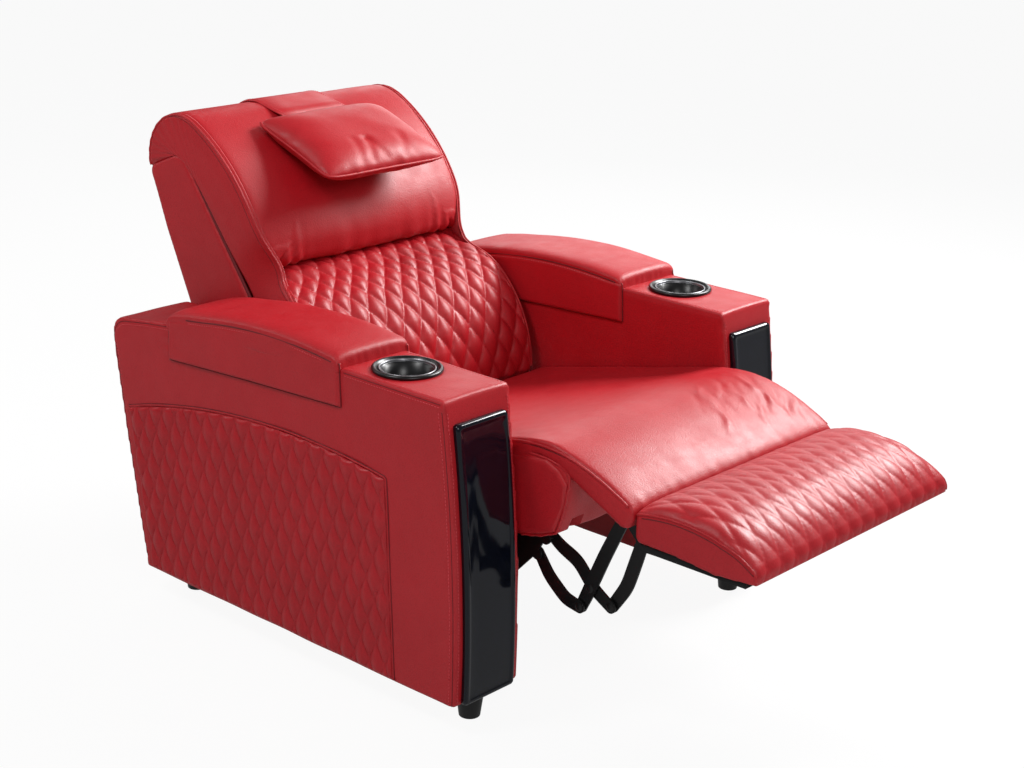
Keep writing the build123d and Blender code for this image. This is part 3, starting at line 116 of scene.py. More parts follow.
def add(tree, kind, inputs=None, **settings):
    """A new node of that kind, with its settings, input values and links from other nodes' outputs."""
    node = tree.nodes.new(kind)
    for key, value in settings.items():
        setattr(node, key, value)
    for key, value in (inputs or {}).items():
        if isinstance(value, bpy.types.NodeSocket):
            tree.links.new(value, node.inputs[key])
        else:
            node.inputs[key].default_value = value
    return node


def new_finish(name):
    """An empty material, its node tree and its output node."""
    material = bpy.data.materials.new(name)
    material.use_nodes = True
    material.node_tree.nodes.clear()
    return material, material.node_tree, add(material.node_tree, "ShaderNodeOutputMaterial")


def looked_at(tree):
    """Outputs that are 1 where a glossy surface mirrors it, and 1 where it is seen, straight or through
    something clear."""
    path = add(tree, "ShaderNodeLightPath").outputs
    seen = add(tree, "ShaderNodeMath", {0: path["Is Camera Ray"], 1: path["Is Transmission Ray"]},
               operation="MAXIMUM")
    return path["Is Glossy Ray"], seen.outputs[0]


PAPER = "#F4F4F4"
PAPER_GLOW = 0.93        # share of plain white where it is seen
PAPER_MIRRORED = 0.34    # strength at which leather, metal and acrylic mirror it
PAPER_REACH = 30         # m, past all that the camera sees
paper, tree, out = new_finish("white_paper")
mirrored, seen = looked_at(tree)
glow_seen = add(tree, "ShaderNodeMath", {0: seen, 1: PAPER_GLOW}, operation="MULTIPLY")
glow = add(tree, "ShaderNodeMath", {0: glow_seen.outputs[0], 1: mirrored}, operation="MAXIMUM")
strength = add(tree, "ShaderNodeMapRange", {0: mirrored, 3: 1.0, 4: PAPER_MIRRORED})
matt = add(tree, "ShaderNodeBsdfDiffuse", {"Color": linear(PAPER)})
light = add(tree, "ShaderNodeEmission", {"Color": linear("#FFFFFF"), "Strength": strength.outputs[0]})
both = add(tree, "ShaderNodeMixShader", {0: glow.outputs[0], 1: matt.outputs[0], 2: light.outputs[0]})
tree.links.new(both.outputs[0], out.inputs[0])
mesh = bpy.data.meshes.new("paper")
mesh.from_pydata([(x * PAPER_REACH, y * PAPER_REACH, 0) for x, y in ((-1, -1), (1, -1), (1, 1), (-1, 1))],
                 [], [(0, 1, 2, 3)])
mesh.materials.append(paper)
put("paper", mesh)

AMBIENT = 0.24           # strength of the even light from all round
AMBIENT_MIRRORED = 0.16  # strength at which it is mirrored
world = bpy.data.worlds.new("studio")
bpy.context.scene.world = world
world.use_nodes = True
tree = world.node_tree
tree.nodes.clear()
mirrored, seen = looked_at(tree)
unseen = add(tree, "ShaderNodeMapRange", {0: mirrored, 3: AMBIENT, 4: AMBIENT_MIRRORED})
strength = add(tree, "ShaderNodeMapRange", {0: seen, 3: unseen.outputs[0], 4: 1.0})
air = add(tree, "ShaderNodeBackground", {"Color": linear("#FFFFFF"), "Strength": strength.outputs[0]})
tree.links.new(air.outputs[0], add(tree, "ShaderNodeOutputWorld").inputs[0])


def softbox(name, place, target, size, watts):
    """Rectangular lamp, turned from its place to the target. All in metres."""
    data = bpy.data.lights.new(name, "AREA")
    data.shape = "RECTANGLE"
    data.size, data.size_y = size
    data.energy = watts
    lamp = put(name, data)
    lamp.location = place
    lamp.rotation_euler = (Vector(target) - Vector(place)).to_track_quat("-Z", "Y").to_euler()


softbox("key_softbox", (2.4, -0.5, 2.5), (0, 0, 0.5), (1.3, 1.3), 142)
softbox("front_fill", (-1.7, -3.0, 2.7), (0, 0, 0.5), (1.2, 1.2), 30)
softbox("rear_fill", (-1.2, 3.2, 2.6), (0, 0, 0.6), (1.6, 1.6), 14)
softbox("side_fill", (-2.0, 0.6, 3.1), (-0.4, 0, 0.3), (0.7, 0.7), 32)
softbox("rear_softbox", (3.0, 2.2, 1.9), (0, -0.3, 0.5), (2.4, 1.4), 28)


# ---------------------------------------------------------------- red leather
# The covers are corrected-grain cowhide, dyed red and pressed with a fine pebble. The
# coat on it gives a broad satin shine, and the dye lies a little deeper in the grain.
def leather(name, light_red, deep_red, grain_mm, grain_depth_mm, roughness):
    """Pebbled leather. The pebbles of real hide are 1 mm wide, drawn at 2.2 mm so that they show."""
    material, tree, out = new_finish(name)
    place = add(tree, "ShaderNodeTexCoord").outputs["Object"]
    cloud = add(tree, "ShaderNodeTexNoise", {"Vector": place, "Scale": 9.0, "Detail": 3.0})
    tone = add(tree, "ShaderNodeMix", {0: cloud.outputs[0], 6: linear(deep_red), 7: linear(light_red)},
               data_type="RGBA")
    warp = add(tree, "ShaderNodeTexNoise",
               {"Vector": place, "Scale": 1000 / (3 * grain_mm), "Detail": 1.0})
    bent = add(tree, "ShaderNodeMix", {0: 0.004, 4: place, 5: warp.outputs["Color"]}, data_type="VECTOR")
    pebble = add(tree, "ShaderNodeTexVoronoi", {"Vector": bent.outputs[1], "Scale": 1000 / grain_mm},
                 feature="SMOOTH_F1")
    valley = add(tree, "ShaderNodeMapRange", {0: pebble.outputs[0], 1: 0.35, 2: 0.75, 3: 1.0, 4: 0.86})
    dyed = add(tree, "ShaderNodeMix", {0: 1.0, 6: tone.outputs[2], 7: valley.outputs[0]},
               data_type="RGBA", blend_type="MULTIPLY")
    rub = add(tree, "ShaderNodeTexNoise", {"Vector": place, "Scale": 28.0, "Detail": 4.0})
    shine = add(tree, "ShaderNodeMapRange", {0: rub.outputs[0], 1: 0.3, 2: 0.7, 3: roughness - 0.05,
                                             4: roughness + 0.05})
    relief = add(tree, "ShaderNodeBump", {"Height": pebble.outputs[0], "Distance": -grain_depth_mm / 1000,
                                          "Strength": 1.0})
    slack = add(tree, "ShaderNodeBump", {"Height": rub.outputs[0], "Distance": 0.0012, "Strength": 0.35,
                                         "Normal": relief.outputs[0]})
    surface = add(tree, "ShaderNodeBsdfPrincipled", {
        "Base Color": dyed.outputs[2], "Roughness": shine.outputs[0], "IOR": 1.5,
        "Specular IOR Level": 0.45, "Normal": slack.outputs[0]})
    tree.links.new(surface.outputs[0], out.inputs[0])
    return material


def thread_and_seam_shade(name, deep, light, lay_scale, roughness):
    """Bonded polyester thread, whose strands' lay gives it two tones; also the painted shade laid in
    seams, in two dark reds.
    """
    material, tree, out = new_finish(name)
    place = add(tree, "ShaderNodeTexCoord").outputs["Object"]
    lay = add(tree, "ShaderNodeTexNoise", {"Vector": place, "Scale": lay_scale, "Detail": 1.0})
    shade = add(tree, "ShaderNodeMix", {0: lay.outputs[0], 6: linear(deep), 7: linear(light)},
                data_type="RGBA")
    surface = add(tree, "ShaderNodeBsdfPrincipled",
                  {"Base Color": shade.outputs[2], "Roughness": roughness})
    tree.links.new(surface.outputs[0], out.inputs[0])
    return material


red_leather = leather("red_pebbled_leather", "#BE1622", "#AC111B", 2.2, 0.30, 0.47)
quilted_leather = leather("red_quilted_leather", "#BA1421", "#A60F1A", 2.2, 0.20, 0.44)

# The stitches' thread is dyed a shade lighter than the leather. Where leather is sewn down, the seam lies
# in its own shadow, and that shade is painted as dark red cords laid in the seams.
thread = thread_and_seam_shade("red_sewing_thread", "#C8323C", "#E0565E", 900.0, 0.55)
seam_shade = thread_and_seam_shade("painted_seam_shade", "#5C0B12", "#7A1019", 500.0, 0.7)

# ---------------------------------------------------------------- arm covers
# Each arm is a plywood box under thin foam and a sewn leather cover: a flat deck in
# front for the cup holder, a bowed front, and a rear end that leans back.
MM = 0.001
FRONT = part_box("glide_rails")[0].y / MM - 22     # the arms' top front edge, in mm along the chair


def arc(a, b, c, count):
    """Points on the circle through a, b and c, from a to c."""
    a, b, c = complex(*a), complex(*b), complex(*c)
    w = (c - a) / (b - a)
    centre = (b - a) * (w - abs(w) ** 2) / (2j * w.imag) + a
    sweep = np.angle((c - centre) / (a - centre))
    half = np.angle((b - centre) / (a - centre))
    if half * sweep < 0 or abs(half) > abs(sweep):
        sweep -= np.sign(sweep) * 2 * pi
    on_it = [centre + (a - centre) * np.exp(1j * sweep * n / count) for n in range(count + 1)]
    return [(p.real, p.imag) for p in on_it]


def eased(values, at, heights, reach):
    """Heights between the given ones, without a kink: the mean over a reach to both sides."""
    return np.mean([np.interp(values + d, at, heights) for d in np.linspace(-reach, reach, 11)], axis=0)


def lengths_along(line):
    """How far along the line each of its points lies."""
    return np.concatenate([[0], np.cumsum(np.linalg.norm(np.diff(line, axis=0), axis=1))])


def eased_line(line, reach, step=4.0):
    """The line of (y, z) points with its corners eased, and its two ends kept."""
    line = np.array(line, float)
    runs = lengths_along(line)
    at = np.linspace(0, runs[-1], int(runs[-1] / step) + 2)
    room = np.minimum(reach, np.minimum(at, runs[-1] - at))
    spread = np.linspace(-1, 1, 11)[:, None]
    return [tuple(p) for p in np.stack([np.interp(at + spread * room, runs, line[:, n]).mean(axis=0)
                                        for n in (0, 1)], axis=1)]


def turn_about(centre, radius, start, end, count):
    """Points on a circle from one angle to another, in degrees up from the rear."""
    angles = np.radians(np.linspace(start, end, count))
    return [(centre[0] + radius * cos(t), centre[1] + radius * sin(t)) for t in angles]


def new_piece(name, vertices, faces):
    """A mesh object. The vertices are x, y, z in mm, with y from the arms' front."""
    mesh = bpy.data.meshes.new(name)
    placed = (np.array(vertices, float) + (0, FRONT, 0)) * MM
    mesh.from_pydata(placed.tolist(), [], faces)
    return put(name, mesh)


def face_out(piece, weld=False, split_caps=False):
    """Turns every face outwards. First it may join points that meet, or cut caps into triangles."""
    net = bmesh.new()
    net.from_mesh(piece.data)
    if weld:
        bmesh.ops.remove_doubles(net, verts=net.verts, dist=1e-6)
    if split_caps:
        bmesh.ops.triangulate(net, faces=[f for f in net.faces if len(f.verts) > 4])
    bmesh.ops.recalc_face_normals(net, faces=net.faces)
    net.to_mesh(piece.data)
    net.free()
    return piece


def bands(rings, count, closed=False):
    """Faces between rings of count points each."""
    return [(n * count + k, n * count + (k + 1) % count,
             (n + 1) % rings * count + (k + 1) % count, (n + 1) % rings * count + k)
            for n in range(rings if closed else rings - 1) for k in range(count)]


def caps(rings, count):
    """Faces over the first and the last ring."""
    return [tuple(range(count)), tuple(range((rings - 1) * count, rings * count))]


def rod(rings, count):
    """Faces of a round rod from end to end, all outwards."""
    first, last = caps(rings, count)
    return bands(rings, count) + [first[::-1], last]


def prism(name, outline, low, high):
    """Solid with a side outline of (y, z) points, from x = low to x = high."""
    vertices = [(x, y, z) for x in (low, high) for y, z in outline]
    count = len(outline)
    return face_out(new_piece(name, vertices, bands(2, count) + caps(2, count)), split_caps=True)


def apply_modifiers(piece):
    graph = bpy.context.evaluated_depsgraph_get()
    mesh = bpy.data.meshes.new_from_object(piece.evaluated_get(graph), depsgraph=graph)
    piece.modifiers.clear()
    piece.data = mesh


def foam(piece, voxel_mm, rounds):
    """Even mesh over the piece, its edges softened as foam under leather is."""
    net = piece.modifiers.new("net", "REMESH")
    net.mode = "VOXEL"
    net.voxel_size = voxel_mm * MM
    soft = piece.modifiers.new("soft", "SMOOTH")
    soft.factor = 0.5
    soft.iterations = rounds
    apply_modifiers(piece)


def cut(piece, tool):
    """Takes the tool out of the piece."""
    knife = piece.modifiers.new("cut", "BOOLEAN")
    knife.operation = "DIFFERENCE"
    knife.solver = "EXACT"
    knife.object = tool
    apply_modifiers(piece)
    bpy.data.objects.remove(tool)


def points_of(piece):
    """Places and normals of the piece's points, in mm."""
    count = len(piece.data.vertices)
    places = np.empty(count * 3)
    normals = np.empty(count * 3)
    piece.data.vertices.foreach_get("co", places)
    piece.data.vertices.foreach_get("normal", normals)
    return places.reshape(-1, 3) / MM - (0, FRONT, 0), normals.reshape(-1, 3)


def move_points(piece, places):
    piece.data.vertices.foreach_set("co", ((places + (0, FRONT, 0)) * MM).ravel())
    piece.data.update()


PATH_STEP = 3.0          # mm between a path's points


def fine_path(path, step=PATH_STEP):
    """The path with points about a step apart."""
    path = np.array(path, float)
    reach = lengths_along(path)
    at = np.linspace(0, reach[-1], max(2, int(reach[-1] / step) + 1))
    return np.stack([np.interp(at, reach, path[:, n]) for n in range(3)], axis=1)


def to_path(path, places):
    """Each place's distance from the path, and how far along the path it is."""
    fine = fine_path(path)
    nearest = KDTree(len(fine))
    for n, point in enumerate(fine):
        nearest.insert(point, n)
    nearest.balance()
    found = [nearest.find(p)[1:] for p in places]
    return np.array([away for _, away in found]), np.array([n for n, _ in found]) * PATH_STEP


def press(piece, path, width, depth):
    """Groove where a seam pulls the leather in."""
    places, normals = points_of(piece)
    distance, _ = to_path(path, places)
    move_points(piece, places - normals * (depth * np.exp(-(distance / width) ** 2))[:, None])


def gather(piece, path, reach, depth, pitch, seed):
    """Short puckers that run square to a seam and fade out."""
    places, normals = points_of(piece)
    distance, along = to_path(path, places)
    random.seed(seed)
    starts = [random.uniform(0, 2 * pi) for _ in range(3)]
    wave = sum(np.sin(2 * pi * along / (pitch * k) + s) for k, s in zip((1.0, 1.37, 2.3), starts)) / 3
    fade = np.clip(1 - distance / reach, 0, 1) ** 1.5
    move_points(piece, places + normals * (depth * wave * fade)[:, None])


def ripple(places, size, seed):
    """Smooth unevenness between -1 and 1, about one wave for each size."""
    random.seed(seed)
    total = np.zeros(len(places))
    for _ in range(7):
        way = Vector([random.gauss(0, 1) for _ in range(3)]).normalized()
        stretch = random.uniform(0.7, 1.5)
        total += np.sin(places @ np.array(way) * 2 * pi * stretch / size + random.uniform(0, 2 * pi))
    return total / 4


def wrinkle(piece, size, depth, seed):
    places, normals = points_of(piece)
    move_points(piece, places + normals * (depth * ripple(places, size, seed))[:, None])


def dress(piece, body, material, *nodes, slot="red_leather"):
    """Gives the piece its material and body, and hides the CAD nodes that it stands for. The slot is not
    used.
    """
    piece.data.materials.clear()
    piece.data.materials.append(material)
    piece.data.shade_smooth()
    if body:
        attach(piece, body)
    if nodes:
        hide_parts(*nodes)
    return piece


def on_skin(piece, path, step=PATH_STEP, lift=0.0):
    """Points of the path brought to the piece's surface, and the normals there."""
    places, _ = points_of(piece)
    polygons = [tuple(p.vertices) for p in piece.data.polygons]
    skin = BVHTree.FromPolygons([tuple(p) for p in places], polygons)
    hits = [skin.find_nearest(Vector(p)) for p in fine_path(path, step)]
    normals = np.array([hit[1] for hit in hits])
    return np.array([hit[0] for hit in hits]) + normals * lift, normals


CORD_SIDES = 8


def tube(name, path, radius, closed=False):
    """Round cord along a path of points."""
    path = np.array(path, float)
    ahead = np.roll(path, -1, axis=0) - np.roll(path, 1, axis=0)
    if not closed:
        ahead[0] = path[1] - path[0]
        ahead[-1] = path[-1] - path[-2]
    ahead /= np.linalg.norm(ahead, axis=1)[:, None] + 1e-9
    side = np.cross(ahead[0], (0.3, 0.5, 0.8))
    rings = []
    for point, way in zip(path, ahead):
        side = side - way * side.dot(way)
        side /= np.linalg.norm(side)
        other = np.cross(way, side)
        rings.append([point + radius * (side * cos(t) + other * sin(t))
                      for t in np.linspace(0, 2 * pi, CORD_SIDES, endpoint=False)])
    faces = bands(len(rings), CORD_SIDES, True) if closed else rod(len(rings), CORD_SIDES)
    return new_piece(name, np.array(rings).reshape(-1, 3), faces)


def cord(name, piece, path, radius, lift=0.0):
    """Piping or a seam that follows the path over the piece's skin."""
    return tube(name, on_skin(piece, path, 4.0, lift)[0], radius)


STITCH_PITCH = 6.5       # mm from stitch to stitch, a heavy topstitch
STITCH_LENGTH = 4.6
THREAD_R = 0.65
STITCH_SIDES = 6
STITCH_FACES = rod(3, STITCH_SIDES)


def stitches(name, rows):
    """Row after row of thread stitches. A row is the points and normals that on_skin gives."""
    vertices = []
    faces = []
    for points, normals in rows:
        reach = lengths_along(points)
        for start in np.arange(1.0, reach[-1] - STITCH_LENGTH, STITCH_PITCH):
            ends = [np.array([np.interp(start + d, reach, points[:, n]) for n in range(3)])
                    for d in (0, STITCH_LENGTH / 2, STITCH_LENGTH)]
            normal = normals[min(int(np.searchsorted(reach, start)), len(normals) - 1)]
            way = (ends[2] - ends[0]) / (np.linalg.norm(ends[2] - ends[0]) + 1e-9)
            side = np.cross(way, normal)
            first = len(vertices)
            for end, high, wide in zip(ends, (-0.2, 1.0, -0.2), (0.6, 1.0, 0.6)):
                for t in np.linspace(0, 2 * pi, STITCH_SIDES, endpoint=False):
                    vertices.append(end + normal * THREAD_R * (high * 0.5 + sin(t) * wide)
                                    + side * THREAD_R * cos(t) * wide)
            faces += [tuple(first + k for k in face) for face in STITCH_FACES]
    return new_piece(name, vertices, faces)


def mirrored_mesh(piece):
    """The piece's mesh, turned over to the chair's other side."""
    mesh = piece.data.copy()
    mesh.transform(Matrix.Scale(-1, 4, (1, 0, 0)))
    mesh.flip_normals()
    return mesh


def dress_pair(piece, material, node=None, slot="red_leather"):
    """Dresses a piece of the left arm and its twin on the right one."""
    twin = put(piece.name.replace("_left", "_right"), mirrored_mesh(piece))
    for side, one in (("left", piece), ("right", twin)):
        dress(one, "base", material, *([f"{node}_{side}"] if node else []), slot=slot)
    return piece, twin


def pinned(piece, path, inset):
    """A row for stitches: the path on the skin, moved along it by an inset in x, y and z."""
    return on_skin(piece, np.array(path, float) + inset)


ARM_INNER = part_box("arm_cover_left")[0].x / MM
ARM_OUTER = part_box("arm_cover_left")[1].x / MM
ARM_MID = (ARM_INNER + ARM_OUTER) / 2
DECK = 597.0
DECK_END = 240           # where the pad begins
ARM_FOOT = 53.0
CUP_Y = 162.0            # the cup holders' middle
CUP_HOLE_R = 52
CUP_FLAT_R = 75          # the deck is flat round the cup holder, as far as this
DECK_CROWN = 2.0         # mm that the foam lifts its middle elsewhere
DECK_HALF = 82
BOW = ((0, DECK), (-33.5, 325), (-41, ARM_FOOT))     # down the arm's front edge
arm_side = (arc(*BOW, 30) + arc((799, ARM_FOOT), (858.2, 352.2), (885, 506), 24)
            + arc((885, 512), (876, 544), (842, 555.5), 8) + [(714, 572.5), (DECK_END, DECK)])
arm_cover = prism("arm_cover_leather_left", arm_side, ARM_INNER, ARM_OUTER)
bpy.ops.mesh.primitive_cylinder_add(vertices=64, radius=CUP_HOLE_R * MM, depth=0.1,
                                    location=(ARM_MID * MM, (FRONT + CUP_Y) * MM, DECK * MM))
cut(arm_cover, bpy.context.object)
foam(arm_cover, 5.0, 5)

# The cover's seams: along both edges of the deck, down both edges of the front, and from
# the pad's flap to the round rear corner. Each is pulled in, with stitches beside it.
EDGE = 5.0               # a seam's distance from the cover's edge
deck_seam = [(ARM_OUTER, y, DECK - EDGE) for y in (6, DECK_END - 4)]
front_seam = [(ARM_OUTER, y + EDGE, z) for y, z in arc(*BOW, 30)[1:]]
rear_seam = [(ARM_OUTER, y, z - EDGE) for y, z in [(718, 571), (780, 564), (842, 554)]
             + arc((848, 553), (872, 541), (882, 506), 6)]
rear_seam += [(ARM_OUTER, y - EDGE, z)
              for y, z in arc((882, 500), (857, 352.2), (799, ARM_FOOT), 20)[:-1]]
inner_deck = [(ARM_INNER, y, DECK - EDGE) for y in (6, DECK_END - 4)]
inner_front = [(ARM_INNER, y + EDGE, z) for y, z in arc(*BOW, 30)[1:]]
for path in (deck_seam, front_seam, rear_seam, inner_deck, inner_front):
    press(arm_cover, path, 4.0, 1.6)
places, normals = points_of(arm_cover)
crown = np.clip(1 - ((places[:, 0] - ARM_MID) / DECK_HALF) ** 2, 0, 1)
on_deck = (places[:, 2] > DECK - 6) * (places[:, 1] < DECK_END)
by_cup = np.exp(-(np.hypot(places[:, 0] - ARM_MID, places[:, 1] - CUP_Y) / CUP_FLAT_R) ** 4)
places[:, 2] += DECK_CROWN * crown * on_deck * (1 - by_cup)
move_points(arm_cover, places)
gather(arm_cover, [(ARM_OUTER, 719, 565), (ARM_OUTER, 711, 498)], 22, 1.6, 21, 3)
gather(arm_cover, [(ARM_OUTER, 0, DECK - 8), (ARM_OUTER, -6, DECK - 30)], 20, 0.8, 13, 4)
wrinkle(arm_cover, 160, 0.7, 5)
cover_rows = [pinned(arm_cover, path, inset) for path, inset in (
    (deck_seam, (-10, 0, 8)), (deck_seam, (0, 0, -5)), (front_seam, (0, 7, 0)), (front_seam, (-9, -9, 0)),
    (inner_deck, (10, 0, 8)), (inner_front, (9, -9, 0)), (rear_seam, (0, -5, -5)))]
dress_pair(stitches("arm_cover_stitches_left", cover_rows), thread)
# The dark cords in the three outer seams are painted shade of the seams' valleys
for seam_name, path in (("deck", deck_seam), ("front", front_seam), ("rear", rear_seam)):
    dress_pair(cord(f"arm_{seam_name}_seam_left", arm_cover, path, 0.7), seam_shade)
covers = dress_pair(arm_cover, red_leather, "arm_cover")

# The sitter's right cover is cut out behind the switch plate, for the keys' travel
POCKET_RIM = 4           # mm of cover that the plate laps over
POCKET_DEPTH = 4         # to both sides of the arm's face
switch_low, switch_high = (corner / MM - Vector((0, FRONT, 0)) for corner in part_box("switch_plate"))
pocket_y = (switch_low.y + POCKET_RIM, switch_high.y - POCKET_RIM)
pocket_z = (switch_low.z + POCKET_RIM, switch_high.z - POCKET_RIM)
pocket = [(pocket_y[n], pocket_z[k]) for n, k in ((0, 0), (1, 0), (1, 1), (0, 1))]
cut(covers[1], prism("pocket", pocket, -ARM_INNER - POCKET_DEPTH, -ARM_INNER + POCKET_DEPTH))

# ---------------------------------------------------------------- armrest pads
# Firm foam under leather, crowned from side to side and from front to rear. A seam runs
# round the crown, and under it a flat flap hangs over each side of the arm.
PAD_OVER = 6.5           # mm that the pad is wider than the arm, on each side
PAD_HALF = (ARM_OUTER - ARM_INNER) / 2 + PAD_OVER
PAD_TOP = 14             # mm of foam that takes the crown
PAD_CROWN = 2.5
PAD_FALL = 7             # mm that its side edges fall
FLAP_T = 7.6
pad_ridge = [(246, 612), (250, 618)] + arc((258, 622), (410, 631.5), (600, 615.5), 14) + [
    (650, 609), (690, 601.5), (704, 596), (711, 587)]
arm_pad = prism("arm_pad_leather_left", pad_ridge + [(711, 566), (243, 590)], ARM_MID - PAD_HALF,
                ARM_MID + PAD_HALF)
foam(arm_pad, 3.4, 4)
places, normals = points_of(arm_pad)
across_pad = (places[:, 0] - ARM_MID) / PAD_HALF
top = np.interp(places[:, 1], [y for y, _ in pad_ridge], [z for _, z in pad_ridge])
over = np.clip((places[:, 2] - top + PAD_TOP) / PAD_TOP, 0, 1)
places[:, 2] -= over * PAD_FALL * np.abs(across_pad) ** 7
places[:, 2] += over * PAD_CROWN * (1 - across_pad ** 2)
move_points(arm_pad, places)
pad_seam = [(y, z - 15) for y, z in pad_ridge[2:-3]]
gather(arm_pad, [(x, 246, 606) for x in (ARM_INNER, ARM_OUTER)], 20, 0.7, 15, 6)
wrinkle(arm_pad, 120, 0.5, 7)


def side_panel(name, foot, top, face_x, outward, rise, columns, rows):
    """Padded panel on an upright face that looks along x, outward being 1 or -1. foot and top are
    (y, z) lines, face_x is where its back lies, and rise gives its thickness from y, z, the share s
    along it and the mm from its rim."""
    s, t = np.meshgrid(np.linspace(0, 1, columns), np.linspace(0, 1, rows), indexing="ij")
    lines = []
    for line in (foot, top):
        line = np.array(line, float)
        runs = lengths_along(line)
        lines.append([np.interp(s * runs[-1], runs, line[:, n]) for n in (0, 1)])
    y, z = (low + (high - low) * t for low, high in zip(*lines))
    length = np.linalg.norm(np.diff(np.array([y[:, 0], z[:, 0]])), axis=0).sum()
    tall = np.hypot(y[:, -1] - y[:, 0], z[:, -1] - z[:, 0])[:, None]
    rim = np.minimum.reduce([s * length, (1 - s) * length, t * tall, (1 - t) * tall])
    front = np.stack([face_x + outward * rise(y, z, s, rim), y, z], axis=-1).reshape(-1, 3)
    border = ([n * rows for n in range(columns)] + [(columns - 1) * rows + k for k in range(1, rows)]
              + [n * rows + rows - 1 for n in range(columns - 2, -1, -1)] + list(range(rows - 2, 0, -1)))
    back = front[border].copy()
    back[:, 0] = face_x - outward * 2
    faces = [(n * rows + k, (n + 1) * rows + k, (n + 1) * rows + k + 1, n * rows + k + 1)
             for n in range(columns - 1) for k in range(rows - 1)]
    base = columns * rows
    around = len(border)
    faces += [(border[n], base + n, base + (n + 1) % around, border[(n + 1) % around])
              for n in range(around)]
    faces.append(tuple(range(base, base + around)))
    return face_out(new_piece(name, np.concatenate([front, back]), faces), weld=True)


def flap_rise(y, z, s, rim):
    return FLAP_T * np.clip(rim / 5.0, 0, 1) ** 0.45 + 0.6 * np.sin(y / 41) * np.clip(rim / 30, 0, 1)


flap_foot = [(239, 528), (480, 517), (709, 504)]
flap_top = [(244, 606), (252, 609)] + pad_seam[1:] + [(706, 585)]
flap_hem = flap_top[:2][::-1] + flap_foot + [(709, 560)]
flap_rows = []
for side_name, x, outward in (("outer", ARM_OUTER, 1), ("inner", ARM_INNER, -1)):
    flap = side_panel(f"arm_pad_{side_name}_flap_left", flap_foot, flap_top, x - 1.0, outward,
                      flap_rise, 150, 30)
    flap_rows.append(on_skin(flap, [(x + outward * 7, y, z - 5) for y, z in pad_seam[1:]]))
    # A dark cord in the crown's seam is painted shade, and one along the flap's hem is the flap's painted
    # shadow
    seam_shade_line = [(x + outward * 6.0, y, z + 0.5) for y, z in pad_seam]
    hem_shadow_line = [(x + outward * 0.8, y, z) for y, z in flap_hem]
    for part, line, radius in (("seam", seam_shade_line, 1.4), ("hem", hem_shadow_line, 0.9)):
        dress_pair(tube(f"arm_pad_{side_name}_{part}_left", fine_path(line, 5), radius), seam_shade)
    dress_pair(flap, red_leather)
dress_pair(stitches("arm_pad_stitches_left", flap_rows), thread)
for piece in dress_pair(arm_pad, red_leather, "arm_pad"):
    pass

# ---------------------------------------------------------------- quilted side panels
# A board under thin foam and leather sewn through in tall diamonds, set on the arm's
# outer side with its arched top edge tucked in.
def diamonds(across, up, width, height, sharp):
    """Height from 0 on the sewn lines to 1 in the middle of each diamond. The less sharp is, the
    steeper the leather falls to the seam, and a rounder puff is mixed into it."""
    one = np.abs(np.sin(pi * (across / width + up / height)))
    two = np.abs(np.sin(pi * (across / width - up / height)))
    return 0.5 * (one * two) ** sharp + 0.5 * (one * two) ** 0.7


PANEL_DIAMOND = (39.5, 78.0)               # width and height
PANEL_PUFF = 7.6
PANEL_LEAN = 25 / 370                      # the rows follow the front edge, which leans back
arch = arc((131, 427), (477, 441), (839, 376), 40)


def quilt_rise(y, z, s, rim):
    puff = diamonds(y - PANEL_LEAN * z, z, *PANEL_DIAMOND, 0.30)
    return 2.0 + np.clip(rim / 6.0, 0, 1) ** 0.5 * (0.2 + PANEL_PUFF * puff)


quilt = side_panel("arm_quilt_panel_left", [(105, 58), (776, 58)], arch, ARM_OUTER - 2, 1,
                   quilt_rise, 250, 150)
for piece in dress_pair(quilt, quilted_leather, "arm_quilt", slot="quilted_leather"):
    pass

# A welt runs over the arch and down the front edge, and beside it a dark cord is the seam's painted shade
welt = [(103, 58), (128, 428)] + [(y, z + 3) for y, z in arch]
for part, gap, radius, finish in (("welt", 0.0, 1.8, red_leather), ("seam", 2.4, 0.9, seam_shade)):
    line = [(ARM_OUTER + 0.6, y - gap * (n < 2), z + gap * (n > 1)) for n, (y, z) in enumerate(welt)]
    dress_pair(tube(f"arm_quilt_{part}_left", fine_path(line, 6), radius), finish)

# ---------------------------------------------------------------- front plates
# Cast acrylic, black with a trace of blue, polished: a bevelled frame round a slightly
# hollow field, bent to the bow of the arm's front.

# Cast sheet keeps faint waves under its polish, so that what it mirrors is a little bent
lacquer, tree, out = new_finish("black_polished_acrylic")
place = add(tree, "ShaderNodeTexCoord").outputs["Object"]
haze = add(tree, "ShaderNodeTexNoise", {"Vector": place, "Scale": 14.0, "Detail": 2.0})
rough = add(tree, "ShaderNodeMapRange", {0: haze.outputs[0], 3: 0.05, 4: 0.12})
wave = add(tree, "ShaderNodeBump", {"Height": haze.outputs[0], "Distance": 0.0008, "Strength": 0.25})
surface = add(tree, "ShaderNodeBsdfPrincipled", {
    "Base Color": linear("#080B16"), "Roughness": rough.outputs[0], "IOR": 1.49,
    "Normal": wave.outputs[0]})
tree.links.new(surface.outputs[0], out.inputs[0])

plate_low, plate_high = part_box("front_plate_left")
PLATE_X = (plate_low.x / MM, plate_high.x / MM)
PLATE_Z = (plate_low.z / MM, plate_high.z / MM)
# Each ring of the plate: how far it is inset from the rim, and how far it stands off the bow
PLATE_RINGS = ((0.0, -6.0), (0.0, 5.5), (0.4, 7.4), (2.2, 9.6), (4.0, 10.6), (7.5, 10.9), (9.0, 10.2),
               (10.5, 9.2), (14.0, 8.9), (24.0, 8.8), (34.0, 8.8))
PLATE_CORNER = 6.0
PLATE_POINTS = 220       # round each ring
bow_line = arc(*BOW, 60)


def bow_y(z):
    return np.interp(z, [p[1] for p in bow_line][::-1], [p[0] for p in bow_line][::-1])


